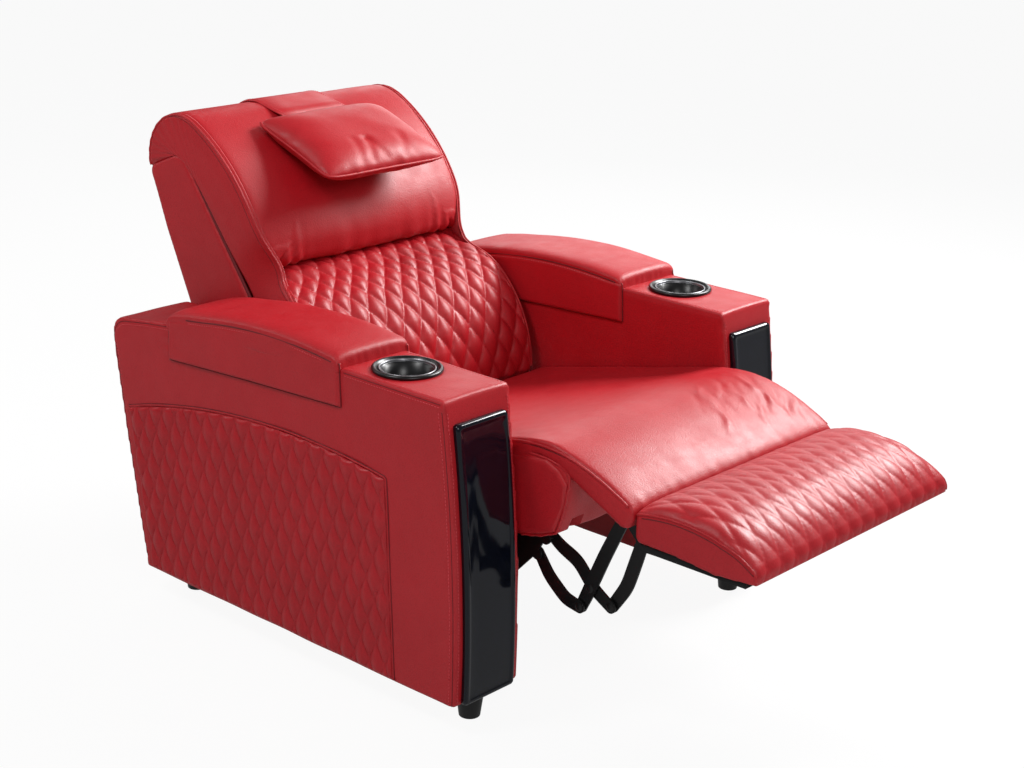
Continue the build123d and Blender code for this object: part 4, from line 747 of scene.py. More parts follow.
def rounded_rectangle(low, high, radius):
    """Points round a rectangle with round corners; low and high are its (x, z) corners."""
    corners = ((high[0] - radius, low[1] + radius, -90), (high[0] - radius, high[1] - radius, 0),
               (low[0] + radius, high[1] - radius, 90), (low[0] + radius, low[1] + radius, 180))
    points = []
    for x, z, start in corners:
        points += [(x + radius * cos(radians(a)), z + radius * sin(radians(a)))
                   for a in np.linspace(start, start + 90, 6)]
    closed = np.array(points + points[:1])
    reach = lengths_along(closed)
    at = np.linspace(0, reach[-1], PLATE_POINTS, endpoint=False)
    return np.stack([np.interp(at, reach, closed[:, n]) for n in range(2)], axis=1)


rings = []
for inset, high in PLATE_RINGS:
    ring = rounded_rectangle((PLATE_X[0] + inset, PLATE_Z[0] + inset),
                             (PLATE_X[1] - inset, PLATE_Z[1] - inset),
                             max(PLATE_CORNER - 0.5 * inset, 1.5))
    rings.append(np.stack([ring[:, 0], bow_y(ring[:, 1]) - high, ring[:, 1]], axis=1))
back, field = caps(len(rings), PLATE_POINTS)
plate = new_piece("front_plate_acrylic_left", np.concatenate(rings),
                  bands(len(rings), PLATE_POINTS) + [back, field[::-1]])
dress_pair(face_out(plate), lacquer, "front_plate", slot="black_lacquer")


# ---------------------------------------------------------------- cup holders
# A moulded ABS bowl with a thick round rim lies on the deck, and a turned band, nickel
# plated, is pressed into its mouth.
def plain(name, colour, roughness, metallic=0.0, grain=0.0):
    """Even finish with a fine unevenness in its shine, and grain pressed into it."""
    material, tree, out = new_finish(name)
    place = add(tree, "ShaderNodeTexCoord").outputs["Object"]
    speck = add(tree, "ShaderNodeTexNoise", {"Vector": place, "Scale": 650.0, "Detail": 2.0})
    patch = add(tree, "ShaderNodeTexNoise", {"Vector": place, "Scale": 22.0, "Detail": 3.0})
    rough = add(tree, "ShaderNodeMapRange", {0: patch.outputs[0], 1: 0.3, 2: 0.7, 3: roughness * 0.85,
                                             4: roughness * 1.15})
    tone = add(tree, "ShaderNodeMix", {0: speck.outputs[0], 6: linear(colour[0]), 7: linear(colour[1])},
               data_type="RGBA")
    relief = add(tree, "ShaderNodeBump",
                 {"Height": speck.outputs[0], "Distance": 0.0003, "Strength": grain})
    surface = add(tree, "ShaderNodeBsdfPrincipled", {
        "Base Color": tone.outputs[2], "Roughness": rough.outputs[0], "Metallic": metallic,
        "Normal": relief.outputs[0]})
    tree.links.new(surface.outputs[0], out.inputs[0])
    return material


# Moulded ABS shines evenly and softly, and nickel plate over turning marks mirrors dimly
cup_abs = plain("black_moulded_abs", ("#08080A", "#0E0E10"), 0.32)
trim_metal = plain("satin_nickel", ("#9A9A9E", "#86868A"), 0.32, metallic=1.0)


def turned(name, profile, centre, count=96):
    """Solid of revolution; the profile is a closed loop of (radius, height)."""
    vertices = [(centre[0] + r * cos(t), centre[1] + r * sin(t), centre[2] + h)
                for r, h in profile for t in np.linspace(0, 2 * pi, count, endpoint=False)]
    return face_out(new_piece(name, vertices, bands(len(profile), count, closed=True)), weld=True)


cup_centre = (ARM_MID, CUP_Y, DECK)
lip = [(58.5 + 4.2 * cos(t), 3.6 + 4.0 * sin(t)) for t in np.radians(np.linspace(-40, 150, 12))]
bowl_turn = [(38 + 4 * sin(t), -58 - 4 * cos(t)) for t in np.radians(np.linspace(10, 80, 5))]
bowl = ([(0.01, -62), (38, -62)] + bowl_turn + [(42, -50), (42, -1), (50.5, 1.0), (50.6, 3.0)] + lip[::-1]
        + [(61.5, 0.1), (46, 0.0), (45, -2), (45, -60), (42, -64.5), (0.01, -65)])
dress_pair(turned("cup_bowl_moulded_left", bowl, cup_centre), cup_abs, "cup_bowl", slot="cup_black")
band = [(50.3, 1.6), (50.3, 5.0), (49.8, 5.7), (48.8, 5.9), (47.8, 5.4), (47.1, 4.0), (46.8, 2.2),
        (46.6, 0.6), (46.2, 0.6), (46.2, 1.6)]
dress_pair(turned("cup_ring_polished_left", band, cup_centre), trim_metal, "cup_ring", slot="chrome_trim")

# ---------------------------------------------------------------- seat and chaise
# One skin of leather over foam runs from under the back, over the round nose and the
# footrest's hinge, to the crease at the footrest.
SEAT_HALF = 297.0
SIDES = (("near", -1), ("far", 1))         # near is the sitter's right
seat_top = eased_line([
    (446, 386), (430, 392), (380, 404), (200, 446), (60, 480), (-16, 497.5), (-45, 502), (-79, 503.5),
    (-115, 501), (-142, 495.5), (-193, 479), (-230, 463), (-260, 447)], 34) + [(-271, 438)]
seat_under = [(-273, 424), (-262, 404), (-250, 401), (-111, 471), (-90, 478), (-60, 482), (-12, 462),
              (18.5, 379), (40, 366), (420, 283), (428, 290), (440, 374)]
seat = prism("seat_leather", seat_top + seat_under, -SEAT_HALF, SEAT_HALF)
foam(seat, 4.6, 7)
places, normals = points_of(seat)
crown = np.clip(1 - np.abs(places[:, 0] / SEAT_HALF) ** 9, 0, 1)
upper = np.clip(normals[:, 2], 0, 1)
near_side = np.clip((-places[:, 0] - 200) / 97, 0, 1) ** 2
swell = eased(places[:, 1], [-290, -230, -80, 100, 300], [5, 8, 5, -2, -5], 40)
nose = near_side * 5 * np.exp(-((places[:, 1] + 80) / 45) ** 2)
places[:, 2] += upper * (crown * swell + nose)
move_points(seat, places)

# Fine slack wrinkles lie across the skin where it turns down to the footrest, most of
# them towards the sitter's left, and small puckers gather at the crease.
SLACK_COUNT = 46
SLACK_DEPTH = 2.3
SLACK_LENGTH, SLACK_WIDTH = 36, 7.0        # from a wrinkle's middle to where it fades
places, normals = points_of(seat)
random.seed(15)
slack = np.zeros(len(places))
for _ in range(SLACK_COUNT):
    centre = (random.uniform(60, 270), random.uniform(-215, -90))
    turn_angle = random.uniform(0.95, 1.6)
    away = places[:, :2] - centre
    along_fold = away[:, 0] * cos(turn_angle) + away[:, 1] * sin(turn_angle)
    off_fold = -away[:, 0] * sin(turn_angle) + away[:, 1] * cos(turn_angle)
    off_fold = off_fold + 6 * np.sin(along_fold / 17)
    slack += random.uniform(-1.0, 1.0) * np.exp(-(along_fold / SLACK_LENGTH) ** 2
                                                - (off_fold / SLACK_WIDTH) ** 2)
move_points(seat, places + normals * (SLACK_DEPTH * slack * upper)[:, None])
gather(seat, [(-290, -266, 434), (290, -266, 434)], 44, 1.5, 29, 11)
wrinkle(seat, 260, 1.0, 13)
for side_name, side in SIDES:
    edge_path = [(side * SEAT_HALF, y, z - 3) for y, z in seat_top[:-1] if y < 70]
    press(seat, edge_path, 5, 1.2)
    line, _ = on_skin(seat, edge_path, 4.0, 0.3)
    # A welt runs along each edge, and under it a dark cord is the seam's painted shade
    for part, drop, radius, finish in (("welt", 0.0, 2.6, red_leather), ("seam", 4.0, 1.0, seam_shade)):
        edge = dress(tube(f"chaise_{part}_{side_name}", line - (0, 0, drop), radius), None, finish)
        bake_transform(edge)
dress(seat, None, red_leather, "seat_cushion", "chaise_pad")
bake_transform(seat)

# ---------------------------------------------------------------- front roll
# The seat's front edge rests on a foam roll under its own leather, with a piped panel at
# each end. The footrest's links pass through slots near its ends.
SLOT_X = (234, 266)      # from side to side over the links
roll_side = (arc((15, 470), (-60, 481), (-117, 475), 10) + turn_about((-117, 453), 19, 100, 200, 10)
             + [(-132, 425), (-129, 410), (-121, 378), (-111, 349), (-75, 334), (-32, 325), (15, 325)])
roll = prism("front_roll_leather", roll_side, -SEAT_HALF, SEAT_HALF)
foam(roll, 4.6, 4)
for _, side in SIDES:
    cut(roll, prism("slot", [(-200, 300), (-200, 372), (19, 372), (19, 300)],
                    *sorted(side * x for x in SLOT_X)))
wrinkle(roll, 90, 1.0, 14)
for side_name, side in SIDES:
    path = [(side * SEAT_HALF, y, z) for y, z in roll_side[3:-1]]
    dress(cord(f"front_roll_piping_{side_name}", roll, path, 2.3, 0.2), "seat", red_leather)
dress(roll, "seat", red_leather, "seat_front_roll")


def roll_end_rise(y, z, s, rim):
    return 4.4 * np.clip(rim / 9.0, 0, 1) ** 0.5


roll_end_foot = [(15, 330), (-32, 329), (-70, 338), (-106, 352), (-118, 380), (-127, 410)]
roll_end_top = [(15, 466), (-22, 469), (-60, 476), (-84, 478), (-112, 466), (-131, 444)]
for side_name, side in SIDES:
    roll_end = side_panel(f"front_roll_end_{side_name}", roll_end_foot, roll_end_top, side * SEAT_HALF,
                          side, roll_end_rise, 60, 40)
    dress(roll_end, "seat", red_leather)

# ---------------------------------------------------------------- footrest
# A board under thick foam and diamond quilted leather, crowned from side to side. Its
# side panels are plain, with piping round their upper edge.
REST_HALF = 294.0
REST_DIAMOND = (40.0, 100.0)
REST_PUFF = 3.9          # mm from the sewn lines to the diamonds' tops
rest_top = arc((-276, 436), (-367, 447), (-440, 438), 12) + arc((-445, 436), (-480, 426), (-512, 408), 6)
rest_side = rest_top + [(-519, 398), (-518, 384), (-437, 377), (-363, 384), (-282, 386), (-276, 394)]
rest = prism("footrest_leather", rest_side, -REST_HALF, REST_HALF)
foam(rest, 3.2, 5)
places, normals = points_of(rest)
upper = np.clip(normals[:, 2] * 1.4, 0, 1)
crown = np.clip(1 - np.abs(places[:, 0] / REST_HALF) ** 14, 0, 1)
swell = eased(places[:, 1], [-519, -490, -440, -371, -310, -276], [0, 13, 22, 22, 18, 9], 14)
places[:, 2] += upper * crown * swell
move_points(rest, places)
places, normals = points_of(rest)
along_top = np.interp(-places[:, 1], [276, 367, 440, 480, 512, 519], [0, 93, 167, 209, 246, 258])
along_top += np.clip(405 - places[:, 2], 0, 40) * (places[:, 1] < -500)
inside = np.clip((REST_HALF - 4 - np.abs(places[:, 0])) / 5, 0, 1)
shown = np.clip((normals[:, 2] * 0.9 - normals[:, 1] * 0.9 - 0.25) * 3, 0, 1)
puff = diamonds(places[:, 0], along_top, *REST_DIAMOND, 0.22) - 0.62
move_points(rest, places + normals * (REST_PUFF * puff * inside * shown)[:, None])
rest_rail = [(y, z - 1) for y, z in rest_top] + [(-517, 398), (-519, 388)]
for side_name, side in SIDES:
    path = [(side * REST_HALF, y, z) for y, z in rest_rail]
    press(rest, path, 4, 1.0)
    low_path = [(side * REST_HALF, y, z - 7) for y, z in rest_rail[1:-2]]
    dress(cord(f"footrest_piping_{side_name}", rest, path, 2.0, 0.3), "footrest", red_leather)
    # Below the piping a dark cord is the seam's painted shade
    dress(cord(f"footrest_seam_{side_name}", rest, low_path, 0.9), "footrest", seam_shade)
dress(rest, "footrest", quilted_leather, "footrest_pad", slot="quilted_leather")

# ---------------------------------------------------------------- back cushion
# Channelled foam under leather quilted in puffed diamonds. The head section above presses
# into it at the crease, which also pulls both narrower there.
GROOVE_FOOT = np.array((560.0, 412.0))     # the groove between cushions and shell
GROOVE_TOP = np.array((892.0, 842.0))
groove_way = (GROOVE_TOP - GROOVE_FOOT) / np.linalg.norm(GROOVE_TOP - GROOVE_FOOT)
groove_out = np.array((groove_way[1], -groove_way[0]))
BACK_HALF = 283.0
CUSHION_HALF = 274.0     # inside the side panels
LUMBAR_CENTRE = np.array((719.0, 382.5))   # of the curve that the quilting follows
LUMBAR_R = 264.0
LUMBAR_DIAMOND = (47.0, 84.0)
LUMBAR_PUFF = 8.6        # mm from the sewn lines to the diamonds' tops
LUMBAR_SUNK = 4.8        # mm that the sewn lines are pulled in


def by_groove(distance, depth):
    """Point up the line between cushions and shell; depth is into the shell."""
    return tuple(GROOVE_FOOT + groove_way * distance + groove_out * depth)


def waist(places):
    """The crease's pull: everything near its ends moves in by a tenth of its width."""
    pull = np.exp(-((places[:, 1] - 640) / 62) ** 2 - ((places[:, 2] - 652) / 58) ** 2)
    places[:, 0] *= 1 - 0.095 * pull
    return places


lumbar_face = arc((453, 386), (504, 537), (630, 630), 20)
lumbar_side = (lumbar_face + [(650, 641), (690, 651), by_groove(292, -2), by_groove(5, -2)]
               + [(553, 400), (462, 372)])
lumbar = prism("back_cushion_leather", lumbar_side, -CUSHION_HALF, CUSHION_HALF)
foam(lumbar, 2.9, 4)
places, normals = points_of(lumbar)
spoke = places[:, 1:] - LUMBAR_CENTRE
radial = spoke / np.linalg.norm(spoke, axis=1)[:, None]
facing = np.clip((np.sum(radial * normals[:, 1:], axis=1) - 0.3) * 2.5, 0, 1) * (spoke[:, 0] < 60)
climb = LUMBAR_R * (pi - np.arctan2(spoke[:, 1], spoke[:, 0]))
near_crease = np.clip((climb - 240) / 80, 0, 1)
puff = diamonds(places[:, 0], climb * (1 + 0.12 * near_crease), *LUMBAR_DIAMOND, 0.26)
lift = (LUMBAR_PUFF * puff - LUMBAR_SUNK) * facing * (1 - 0.2 * near_crease)
move_points(lumbar, waist(places + normals * lift[:, None]))
dress(lumbar, "back", quilted_leather, "back_cushion", slot="quilted_leather")

# ---------------------------------------------------------------- head section
# Thick soft foam under smooth leather: a full face above the crease and a roll along the
# top. Short puckers fan out where the crease gathers its lower corners.
ROLL_CENTRE = (904.0, 823.0)
ROLL_R = 97.0
FACE_CENTRE = np.array((1031.0, 550.6))
FACE_R = 398.1
face_angles = np.linspace(np.arctan2(668 - FACE_CENTRE[1], 651 - FACE_CENTRE[0]), radians(115), 24)
head_face = [tuple(FACE_CENTRE + FACE_R * np.array((cos(t), sin(t)))) for t in face_angles]
head_roll = turn_about(ROLL_CENTRE, ROLL_R, 112, -14, 26)
head_side = ([(700, 652), (680, 648), (663, 651), (653, 662)] + head_face[2:] + head_roll
             + [(912, 836), (900, 840), by_groove(538, -3), by_groove(300, -3)])
head = prism("head_section_leather", head_side, -CUSHION_HALF, CUSHION_HALF)
foam(head, 4.2, 24)
places, normals = points_of(head)
spoke = places[:, 1:] - FACE_CENTRE
radial = spoke / np.linalg.norm(spoke, axis=1)[:, None]
facing = np.clip((np.sum(radial * normals[:, 1:], axis=1) + 0.1) * 1.1, 0, 1) ** 1.5
crown = np.clip(1 - np.abs(places[:, 0] / CUSHION_HALF) ** 3, 0, 1)
swell = eased(places[:, 2], [640, 655, 672, 700, 740, 790, 850, 910, 930],
              [-6, -1, 5, 12, 15, 12, 6, 2, 0], 16)
move_points(head, waist(places + normals * (facing * crown * swell)[:, None]))
for x in (-CUSHION_HALF, CUSHION_HALF):
    corner = [(x * 0.60, 652, 660), (x * 0.90, 652, 660), (x * 0.91, 668, 690)]
    gather(head, corner, 104, 5.4, 27, 21)
gather(head, [(-240, 657, 666), (240, 657, 666)], 70, 1.8, 49, 23)
wrinkle(head, 170, 1.2, 24)
dress(head, "headrest", red_leather, "head_cushion")

# The side panels: one plain piece of padded leather on each side, from the seat up and
# round the end of the roll, where it is gathered like a fan. Piping runs along its edge, and inside the
# piping a dark cord is the seam's painted shade.
SIDE_X = 272.0           # where its back lies
SIDE_T = 9.0
FAN_PITCH = 23           # mm from pucker to pucker
FAN_FROM = 0.74          # share of the panel's length that is plain
panel_front = lumbar_face[:-1] + [(629, 636), (636, 650), (643, 664)] + head_face[3:] + head_roll
panel_rear = [by_groove(4, -1), by_groove(300, -1), by_groove(500, -1), by_groove(528, -3),
              by_groove(533, -6), by_groove(538, -9), (900, 840)]
front_length = np.linalg.norm(np.diff(panel_front, axis=0), axis=1).sum()
rear_share = [0, 0.44, 0.70, 0.78, 0.86, 0.93, 1.0]
rear_line = [tuple(np.interp(share, rear_share, [p[n] for p in panel_rear]) for n in (0, 1))
             for share in np.linspace(0, 1, 60)]


def fan_rise(y, z, s, rim):
    """Padding of the side panel, with the fan of puckers round the roll's end."""
    full = SIDE_T * np.clip(rim / SIDE_T, 0, 1) ** 0.45
    round_roll = np.clip((s - FAN_FROM) / 0.08, 0, 1)
    fan = np.sin(2 * pi * s * front_length / FAN_PITCH + 1.5 * np.sin(s * 40))
    fan = fan * np.exp(-rim / 30) * np.clip(rim / 4, 0, 1)
    return full + 2.2 * np.clip(rim / 45, 0, 1) + 0.7 * round_roll * fan


for side_name, side in SIDES:
    panel = side_panel(f"back_side_panel_{side_name}", rear_line, panel_front, side * SIDE_X, side,
                       fan_rise, 260, 34)
    move_points(panel, waist(points_of(panel)[0]))
    edge = waist(np.array([(side * (SIDE_X + SIDE_T), y, z) for y, z in panel_front]))
    inner_edge = waist(np.array([(side * 284.0, y + 9, z - 6) for y, z in panel_front[2:-16]]))
    for part, path, radius, lift, finish in (("piping", edge, 2.6, 0.6, red_leather),
                                             ("seam", inner_edge, 0.6, 0.0, seam_shade)):
        piece = dress(cord(f"back_side_{part}_{side_name}", panel, path, radius, lift), None, finish)
        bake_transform(piece)
    dress(panel, None, red_leather)
    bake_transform(panel)

# ---------------------------------------------------------------- rear shell
# Moulded and padded boards under leather close the back from behind and from the sides.
# Their edges are rounded, and a dark gap parts them from the cushions.
shell_side = ([by_groove(4, 2), by_groove(531, 2)]
              + arc(by_groove(538, 6), by_groove(546, 13), (917, 836), 4)
              + [(985, 807)] + arc((991, 801), (992, 790), (989, 780), 4)
              + [(948, 680), (882, 546), (830, 430), (778, 307), (768, 300)])
SHELL_T = 12
shell = prism("back_shell_leather", shell_side, -BACK_HALF, BACK_HALF)
inside = [by_groove(-60, -30), by_groove(528, -30), by_groove(528, 12), (973, 790), (936, 685), (869, 546),
          (762, 300), (758, 240)]
cut(shell, prism("inside", inside, -BACK_HALF + SHELL_T, BACK_HALF - SHELL_T))
foam(shell, 4.5, 4)
wrinkle(shell, 240, 1.2, 31)
shell_rear = [(989, 776), (948, 680), (882, 546), (830, 430), (780, 310)]
shell_rows = []
for x in (-BACK_HALF, BACK_HALF):
    path = [(x, y - 2, z) for y, z in shell_rear]
    press(shell, path, 4, 1.2)
    shell_rows.append(pinned(shell, path, (0.06 * -x, 8, 0)))
dress(stitches("back_shell_stitches", shell_rows), "back", thread)
dress(shell, "back", red_leather, "back_shell")

# A dark cord laid in the groove where the side panels meet the shell's front edges is painted shade
GROOVE_SHADE_X = 277.0
GROOVE_SHADE_R = 3.4
for side_name, side in SIDES:
    edge = fine_path([(side * GROOVE_SHADE_X, *by_groove(reach, 0.5)) for reach in (8, 524)], 12)
    dress(tube(f"back_shell_binding_{side_name}", edge, GROOVE_SHADE_R), "back", seam_shade)

# ---------------------------------------------------------------- head pillow
# A small loose pillow, fibre filled, with piping sewn round its edge. It is full in the
# middle, pulled flat at the piping, and dented where it is folded at the lower edge.
PILLOW_REAR = np.array((812.0, 903.0))
PILLOW_TILT = radians(200.5)
PILLOW_LENGTH = 226.0
PILLOW_HALF = 163.0
PILLOW_CORNER = 9        # how late the seam turns in towards a corner
down_way = np.array((cos(PILLOW_TILT), sin(PILLOW_TILT)))
up_way = np.array((down_way[1], -down_way[0]))


def pillow_point(u, v, high):
    """u from -1 to 1 across, v from 0 at the rear seam to 1 at the front, and mm above the seam."""
    w = 2 * v - 1
    u, w = u * (1 - 0.045 * abs(w) ** PILLOW_CORNER), w * (1 - 0.065 * abs(u) ** PILLOW_CORNER)
    v = (w + 1) / 2
    bow_in = 1 - 0.035 * (1 - (2 * v - 1) ** 2)
    along = PILLOW_LENGTH * (0.5 + (v - 0.5) * (1 - 0.02 * (1 - u ** 2)))
    centre = PILLOW_REAR + down_way * along + up_way * high
    return (u * PILLOW_HALF * bow_in, *centre)


TOP_RISE = 34.0
UNDER_RISE = 38.0
ACROSS, ALONG = 97, 73   # points of the pillow's net
vertices = []
for rise in (TOP_RISE, -UNDER_RISE):
    for u in np.linspace(-1, 1, ACROSS):
        for v in np.linspace(0, 1, ALONG):
            full = max(0.0, (1 - abs(u) ** 4.5) * (1 - abs(2 * v - 1) ** 3.6)) ** 0.62
            vertices.append(pillow_point(u, v, rise * full))
faces = []
for n in range(ACROSS - 1):
    for k in range(ALONG - 1):
        face = (n * ALONG + k, n * ALONG + k + 1, (n + 1) * ALONG + k + 1, (n + 1) * ALONG + k)
        faces += [face, tuple(corner + ACROSS * ALONG for corner in face[::-1])]
pillow = face_out(new_piece("head_pillow_leather", vertices, faces), weld=True)
edge_loop = ([pillow_point(u, 0, 0) for u in np.linspace(-1, 1, 40)]
             + [pillow_point(1, v, 0) for v in np.linspace(0, 1, 30)[1:]]
             + [pillow_point(u, 1, 0) for u in np.linspace(1, -1, 40)[1:]]
             + [pillow_point(-1, v, 0) for v in np.linspace(1, 0, 30)[1:-1]])
for side_end in (edge_loop[3:37], edge_loop[43:66], edge_loop[71:105], edge_loop[111:134]):
    gather(pillow, side_end, 34, 1.6, 31, 41)
for u, slant, deep in ((-0.42, 0.4, 1.5), (-0.24, 0.5, 2.6), (0.02, -0.35, 2.0), (0.3, 0.6, 1.4),
                       (0.5, -0.3, 0.8)):
    above = [pillow_point(u + slant * (1 - v), v, TOP_RISE) for v in (0.70, 0.79, 0.88, 0.97)]
    press(pillow, on_skin(pillow, above)[0], 10, deep)
wrinkle(pillow, 110, 1.0, 42)
dress(tube("head_pillow_piping", edge_loop, 3.0, closed=True), "pillow", red_leather)
dress(pillow, "pillow", red_leather, "head_pillow")

# The strap: two layers of leather stitched together, from the pillow's rear seam over the
# roll and down its rear.
STRAP_HALF = 87.0
STRAP_T = 3.6
STRAP_LIFT = 1.6         # off the roll
STRAP_ROW = 80           # x of the stitches
over_roll = turn_about(ROLL_CENTRE, ROLL_R + STRAP_LIFT, 99, 2, 40)
strap_line = np.array([(813.5, 903.5), (850, 911)] + over_roll[2:])
way = np.gradient(strap_line, axis=0)
way /= np.linalg.norm(way, axis=1)[:, None]
off_roll = np.stack([-way[:, 1], way[:, 0]], axis=1)
widths = (-1, -0.985, -0.93, -0.5, 0, 0.5, 0.93, 0.985, 1)
section = [(w, 1.0 if abs(w) < 0.97 else 0.62) for w in widths] + [(w, 0.0) for w in widths[::-1]]
vertices = [(STRAP_HALF * w, *(p + off * STRAP_T * (high if abs(w) > 0.95 else high * 1.15)))
            for p, off in zip(strap_line, off_roll) for w, high in section]
rings, around = len(strap_line), len(section)
strap = face_out(new_piece("pillow_strap_leather", vertices, bands(rings, around) + caps(rings, around)))
strap_rows = [on_skin(strap, [(x, *(p + off * STRAP_T)) for p, off in zip(strap_line, off_roll)])
              for x in (-STRAP_ROW, STRAP_ROW)]
strap_body = frame["nodes"]["pillow_strap"]["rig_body"]
dress(stitches("pillow_strap_stitches", strap_rows), strap_body, thread)
dress(strap, strap_body, red_leather, "pillow_strap")

# ---------------------------------------------------------------- footrest links
# Stamped from 4 mm steel strip in a bent shape, powder coated black, and riveted where they
# meet. Each pair has a layer of its own, so that they pass each other when they fold.
LINK_T = 4.0
LINK_HALF = 11.5         # half width at a rivet
LINK_WIDER = 1.5         # more in the bend
LAYER_IN = 236.0         # x of the innermost layer's inner face
LAYER_STEP = 6.0         # the links are in layers 0 to 3, counted outwards
PIN_R = 5.0
HOLE_GAP = 0.5           # round a pin
STAMPED_EDGE = 0.7       # its rounding


def stamped_link(layer, path, holes):
    """Plate of the left pair, along a path of (y, z) points in its layer."""
    x_in = LAYER_IN + LAYER_STEP * layer
    path = np.array(path, float)
    turns = np.arange(len(path))
    fine = np.linspace(0, len(path) - 1, 28)
    spine = np.stack([np.interp(fine, turns, path[:, n]) for n in (0, 1)], axis=1)
    for _ in range(6):
        spine[1:-1] = (spine[:-2] + 2 * spine[1:-1] + spine[2:]) / 4
    way = np.gradient(spine, axis=0)
    way /= np.linalg.norm(way, axis=1)[:, None]
    off = np.stack([-way[:, 1], way[:, 0]], axis=1)
    half = LINK_HALF + LINK_WIDER * np.sin(np.linspace(0, pi, len(spine)))
    ends = []
    for tip, tip_way in ((spine[-1], way[-1]), (spine[0], -way[0])):
        heading = np.degrees(np.arctan2(tip_way[1], tip_way[0]))
        ends.append(turn_about(tip, LINK_HALF, heading + 80, heading - 80, 14))
    outline = ([tuple(p) for p in spine + off * half[:, None]] + ends[0]
               + [tuple(p) for p in (spine - off * half[:, None])[::-1]] + ends[1])
    plate = prism("link", outline, x_in, x_in + LINK_T)
    for centre in holes:
        hole = turn_about(centre, PIN_R + HOLE_GAP, 0, 345, 24)
        cut(plate, prism("hole", hole, x_in - 2, x_in + LINK_T + 2))
    soften = plate.modifiers.new("soften", "BEVEL")
    soften.width = STAMPED_EDGE * MM
    soften.segments = 2
    soften.angle_limit = radians(50)
    apply_modifiers(plate)
    return plate


def rivet(layer, centre):
    """Rivet through a layer and the next, with a domed head on both sides."""
    low = LAYER_IN + LAYER_STEP * layer
    dome = [(0.01, -1.7), (3.0, -1.6), (6.0, -1.0), (8.0, -0.2), (8.0, 0.4), (PIN_R, 0.4)]
    profile = dome + [(r, LAYER_STEP + LINK_T - h) for r, h in dome[::-1]]
    piece = turned("rivet", profile, (0, 0, 0), 24)
    lie_down = Matrix.Rotation(radians(90), 4, "Y")
    to_centre = Matrix.Translation((low * MM, (FRONT + centre[0]) * MM, centre[1] * MM))
    piece.data.transform(Matrix.Translation((0, -FRONT * MM, 0)))
    piece.data.transform(to_centre @ lie_down)
    return piece


def join(name, pieces):
    """One mesh out of the pieces and their mirrored twins."""
    whole = bmesh.new()
    for piece in pieces:
        whole.from_mesh(piece.data)
        whole.from_mesh(mirrored_mesh(piece))
        bpy.data.objects.remove(piece)
    mesh = bpy.data.meshes.new(name)
    whole.to_mesh(mesh)
    whole.free()
    return put(name, mesh)


REAR_FOOT = (-40.2, 282.1)
REAR_KNEE = (-136.1, 209.7)
REAR_TOP = (-218.0, 394.0)
FRONT_FOOT = (-59.4, 316.0)
FRONT_KNEE = (-195.0, 225.0)
FRONT_TOP = (-256.0, 376.0)
CROSSING = (-153.5, 248.8)
# Worn a little smoother than the plates, so that its edges catch the light
link_steel = plain("black_powder_coated_strip", ("#0C0C0D", "#171718"), 0.34, grain=0.5)
links = {
    "lower_rear": [
        stamped_link(3, [REAR_FOOT, (-66, 246), (-104, 216), REAR_KNEE], [REAR_FOOT]),
        rivet(2, REAR_KNEE)],
    "upper_rear": [
        stamped_link(2, [REAR_KNEE, CROSSING, (-183, 320), REAR_TOP], [REAR_KNEE, CROSSING]),
        rivet(1, REAR_TOP)],
    "lower_front": [
        stamped_link(1, [FRONT_FOOT, (-82, 301.5), (-121, 287), CROSSING, FRONT_KNEE], [FRONT_FOOT]),
        rivet(1, CROSSING), rivet(0, FRONT_KNEE)],
    "upper_front": [
        stamped_link(0, [FRONT_KNEE, (-224, 270), (-244, 335), FRONT_TOP], [FRONT_KNEE]),
        rivet(0, FRONT_TOP)],
}
for link, pieces in links.items():
    link_pair = join(f"{link}_links_stamped", pieces)
    link_body = frame["nodes"][f"{link}_links"]["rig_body"]
    dress(link_pair, link_body, link_steel, f"{link}_links", slot="black_steel")
    for face in link_pair.data.polygons:
        face.use_smooth = False

# ---------------------------------------------------------------- steel, wood and fittings
# What carries the seat: powder coated plates and rails, zinc plated pins, birch plywood,
# nylon rollers and moulded plastic cases. These keep their own shapes.

# Powder coat is dull, with the fine grain of the powder. Zinc plate is bright and cloudy.
black_steel = plain("black_powder_coated_steel", ("#0E0E0F", "#191919"), 0.42, grain=0.5)
plain_steel = plain("zinc_plated_steel", ("#9C9EA2", "#B0B2B6"), 0.32, metallic=1.0, grain=0.2)
# Polypropylene has a low, waxy shine, nylon is milky, and the cases' ABS is spark textured
foot_plastic = plain("black_moulded_polypropylene", ("#0A0A0B", "#121213"), 0.38, grain=0.3)
nylon = plain("natural_moulded_nylon", ("#D8D4C8", "#E2DED4"), 0.45, grain=0.2)
case_plastic = plain("black_textured_abs", ("#121214", "#1B1B1D"), 0.5, grain=0.8)
key_plastic = plain("satin_moulded_abs", ("#161617", "#1F1F20"), 0.3, grain=0.2)

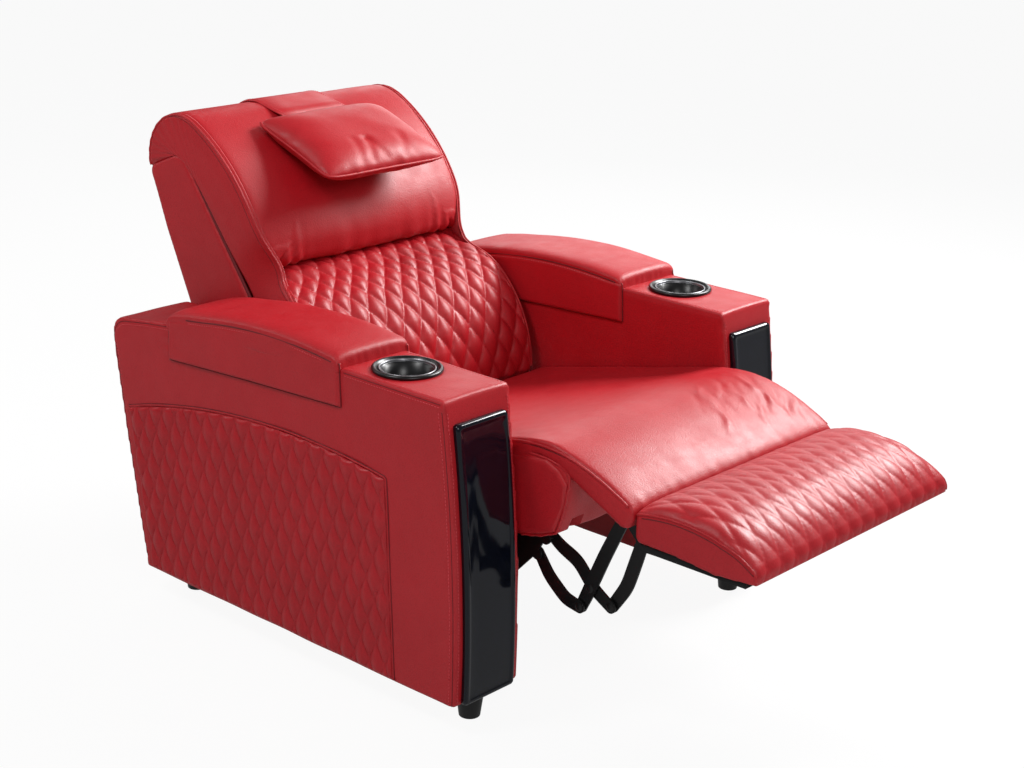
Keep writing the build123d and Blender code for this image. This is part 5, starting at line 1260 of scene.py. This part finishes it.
# Birch plywood, sanded and bare: pale, with long fine streaks
plywood, tree, out = new_finish("raw_birch_plywood")
place = add(tree, "ShaderNodeTexCoord").outputs["Object"]
long_grain = add(tree, "ShaderNodeMapping", {"Vector": place, "Scale": (4.0, 60.0, 60.0)})
grain = add(tree, "ShaderNodeTexNoise", {"Vector": long_grain.outputs[0], "Scale": 6.0, "Detail": 6.0})
tone = add(tree, "ShaderNodeMix", {0: grain.outputs[0], 6: linear("#B98F5C"), 7: linear("#D9B684")},
           data_type="RGBA")
relief = add(tree, "ShaderNodeBump", {"Height": grain.outputs[0], "Distance": 0.0004, "Strength": 0.5})
surface = add(tree, "ShaderNodeBsdfPrincipled", {
    "Base Color": tone.outputs[2], "Roughness": 0.7, "Normal": relief.outputs[0]})
tree.links.new(surface.outputs[0], out.inputs[0])

# Lining cloth: spunbonded black polypropylene, matt, with a visible web
lining, tree, out = new_finish("black_spunbonded_lining")
place = add(tree, "ShaderNodeTexCoord").outputs["Object"]
web = add(tree, "ShaderNodeTexVoronoi", {"Vector": place, "Scale": 500.0}, feature="DISTANCE_TO_EDGE")
relief = add(tree, "ShaderNodeBump", {"Height": web.outputs[0], "Distance": 0.0004, "Strength": 0.6})
surface = add(tree, "ShaderNodeBsdfPrincipled", {
    "Base Color": linear("#141415"), "Roughness": 0.9, "Normal": relief.outputs[0]})
tree.links.new(surface.outputs[0], out.inputs[0])

FINISHES = {
    "red_leather": red_leather, "quilted_leather": quilted_leather, "black_lacquer": lacquer,
    "chrome_trim": trim_metal, "cup_black": cup_abs, "foot_black": foot_plastic,
    "black_steel": black_steel, "plain_steel": plain_steel, "plywood": plywood, "black_cloth": lining,
    "roller_nylon": nylon, "actuator_plastic": case_plastic, "key_plastic": key_plastic,
}
slot_of = {node: entry["slot"]
           for entry in frame["record"]["materials"] for node in entry.get("nodes", [])}
slot_of["footrest_board"] = "black_cloth"    # the board is wrapped in lining cloth
for name, node in frame["nodes"].items():
    for n, used in enumerate(node.data.materials):
        slot_name = slot_of.get(name) or (used.name.split(".")[0] if used else "")
        node.data.materials[n] = FINISHES.get(slot_name, black_steel)
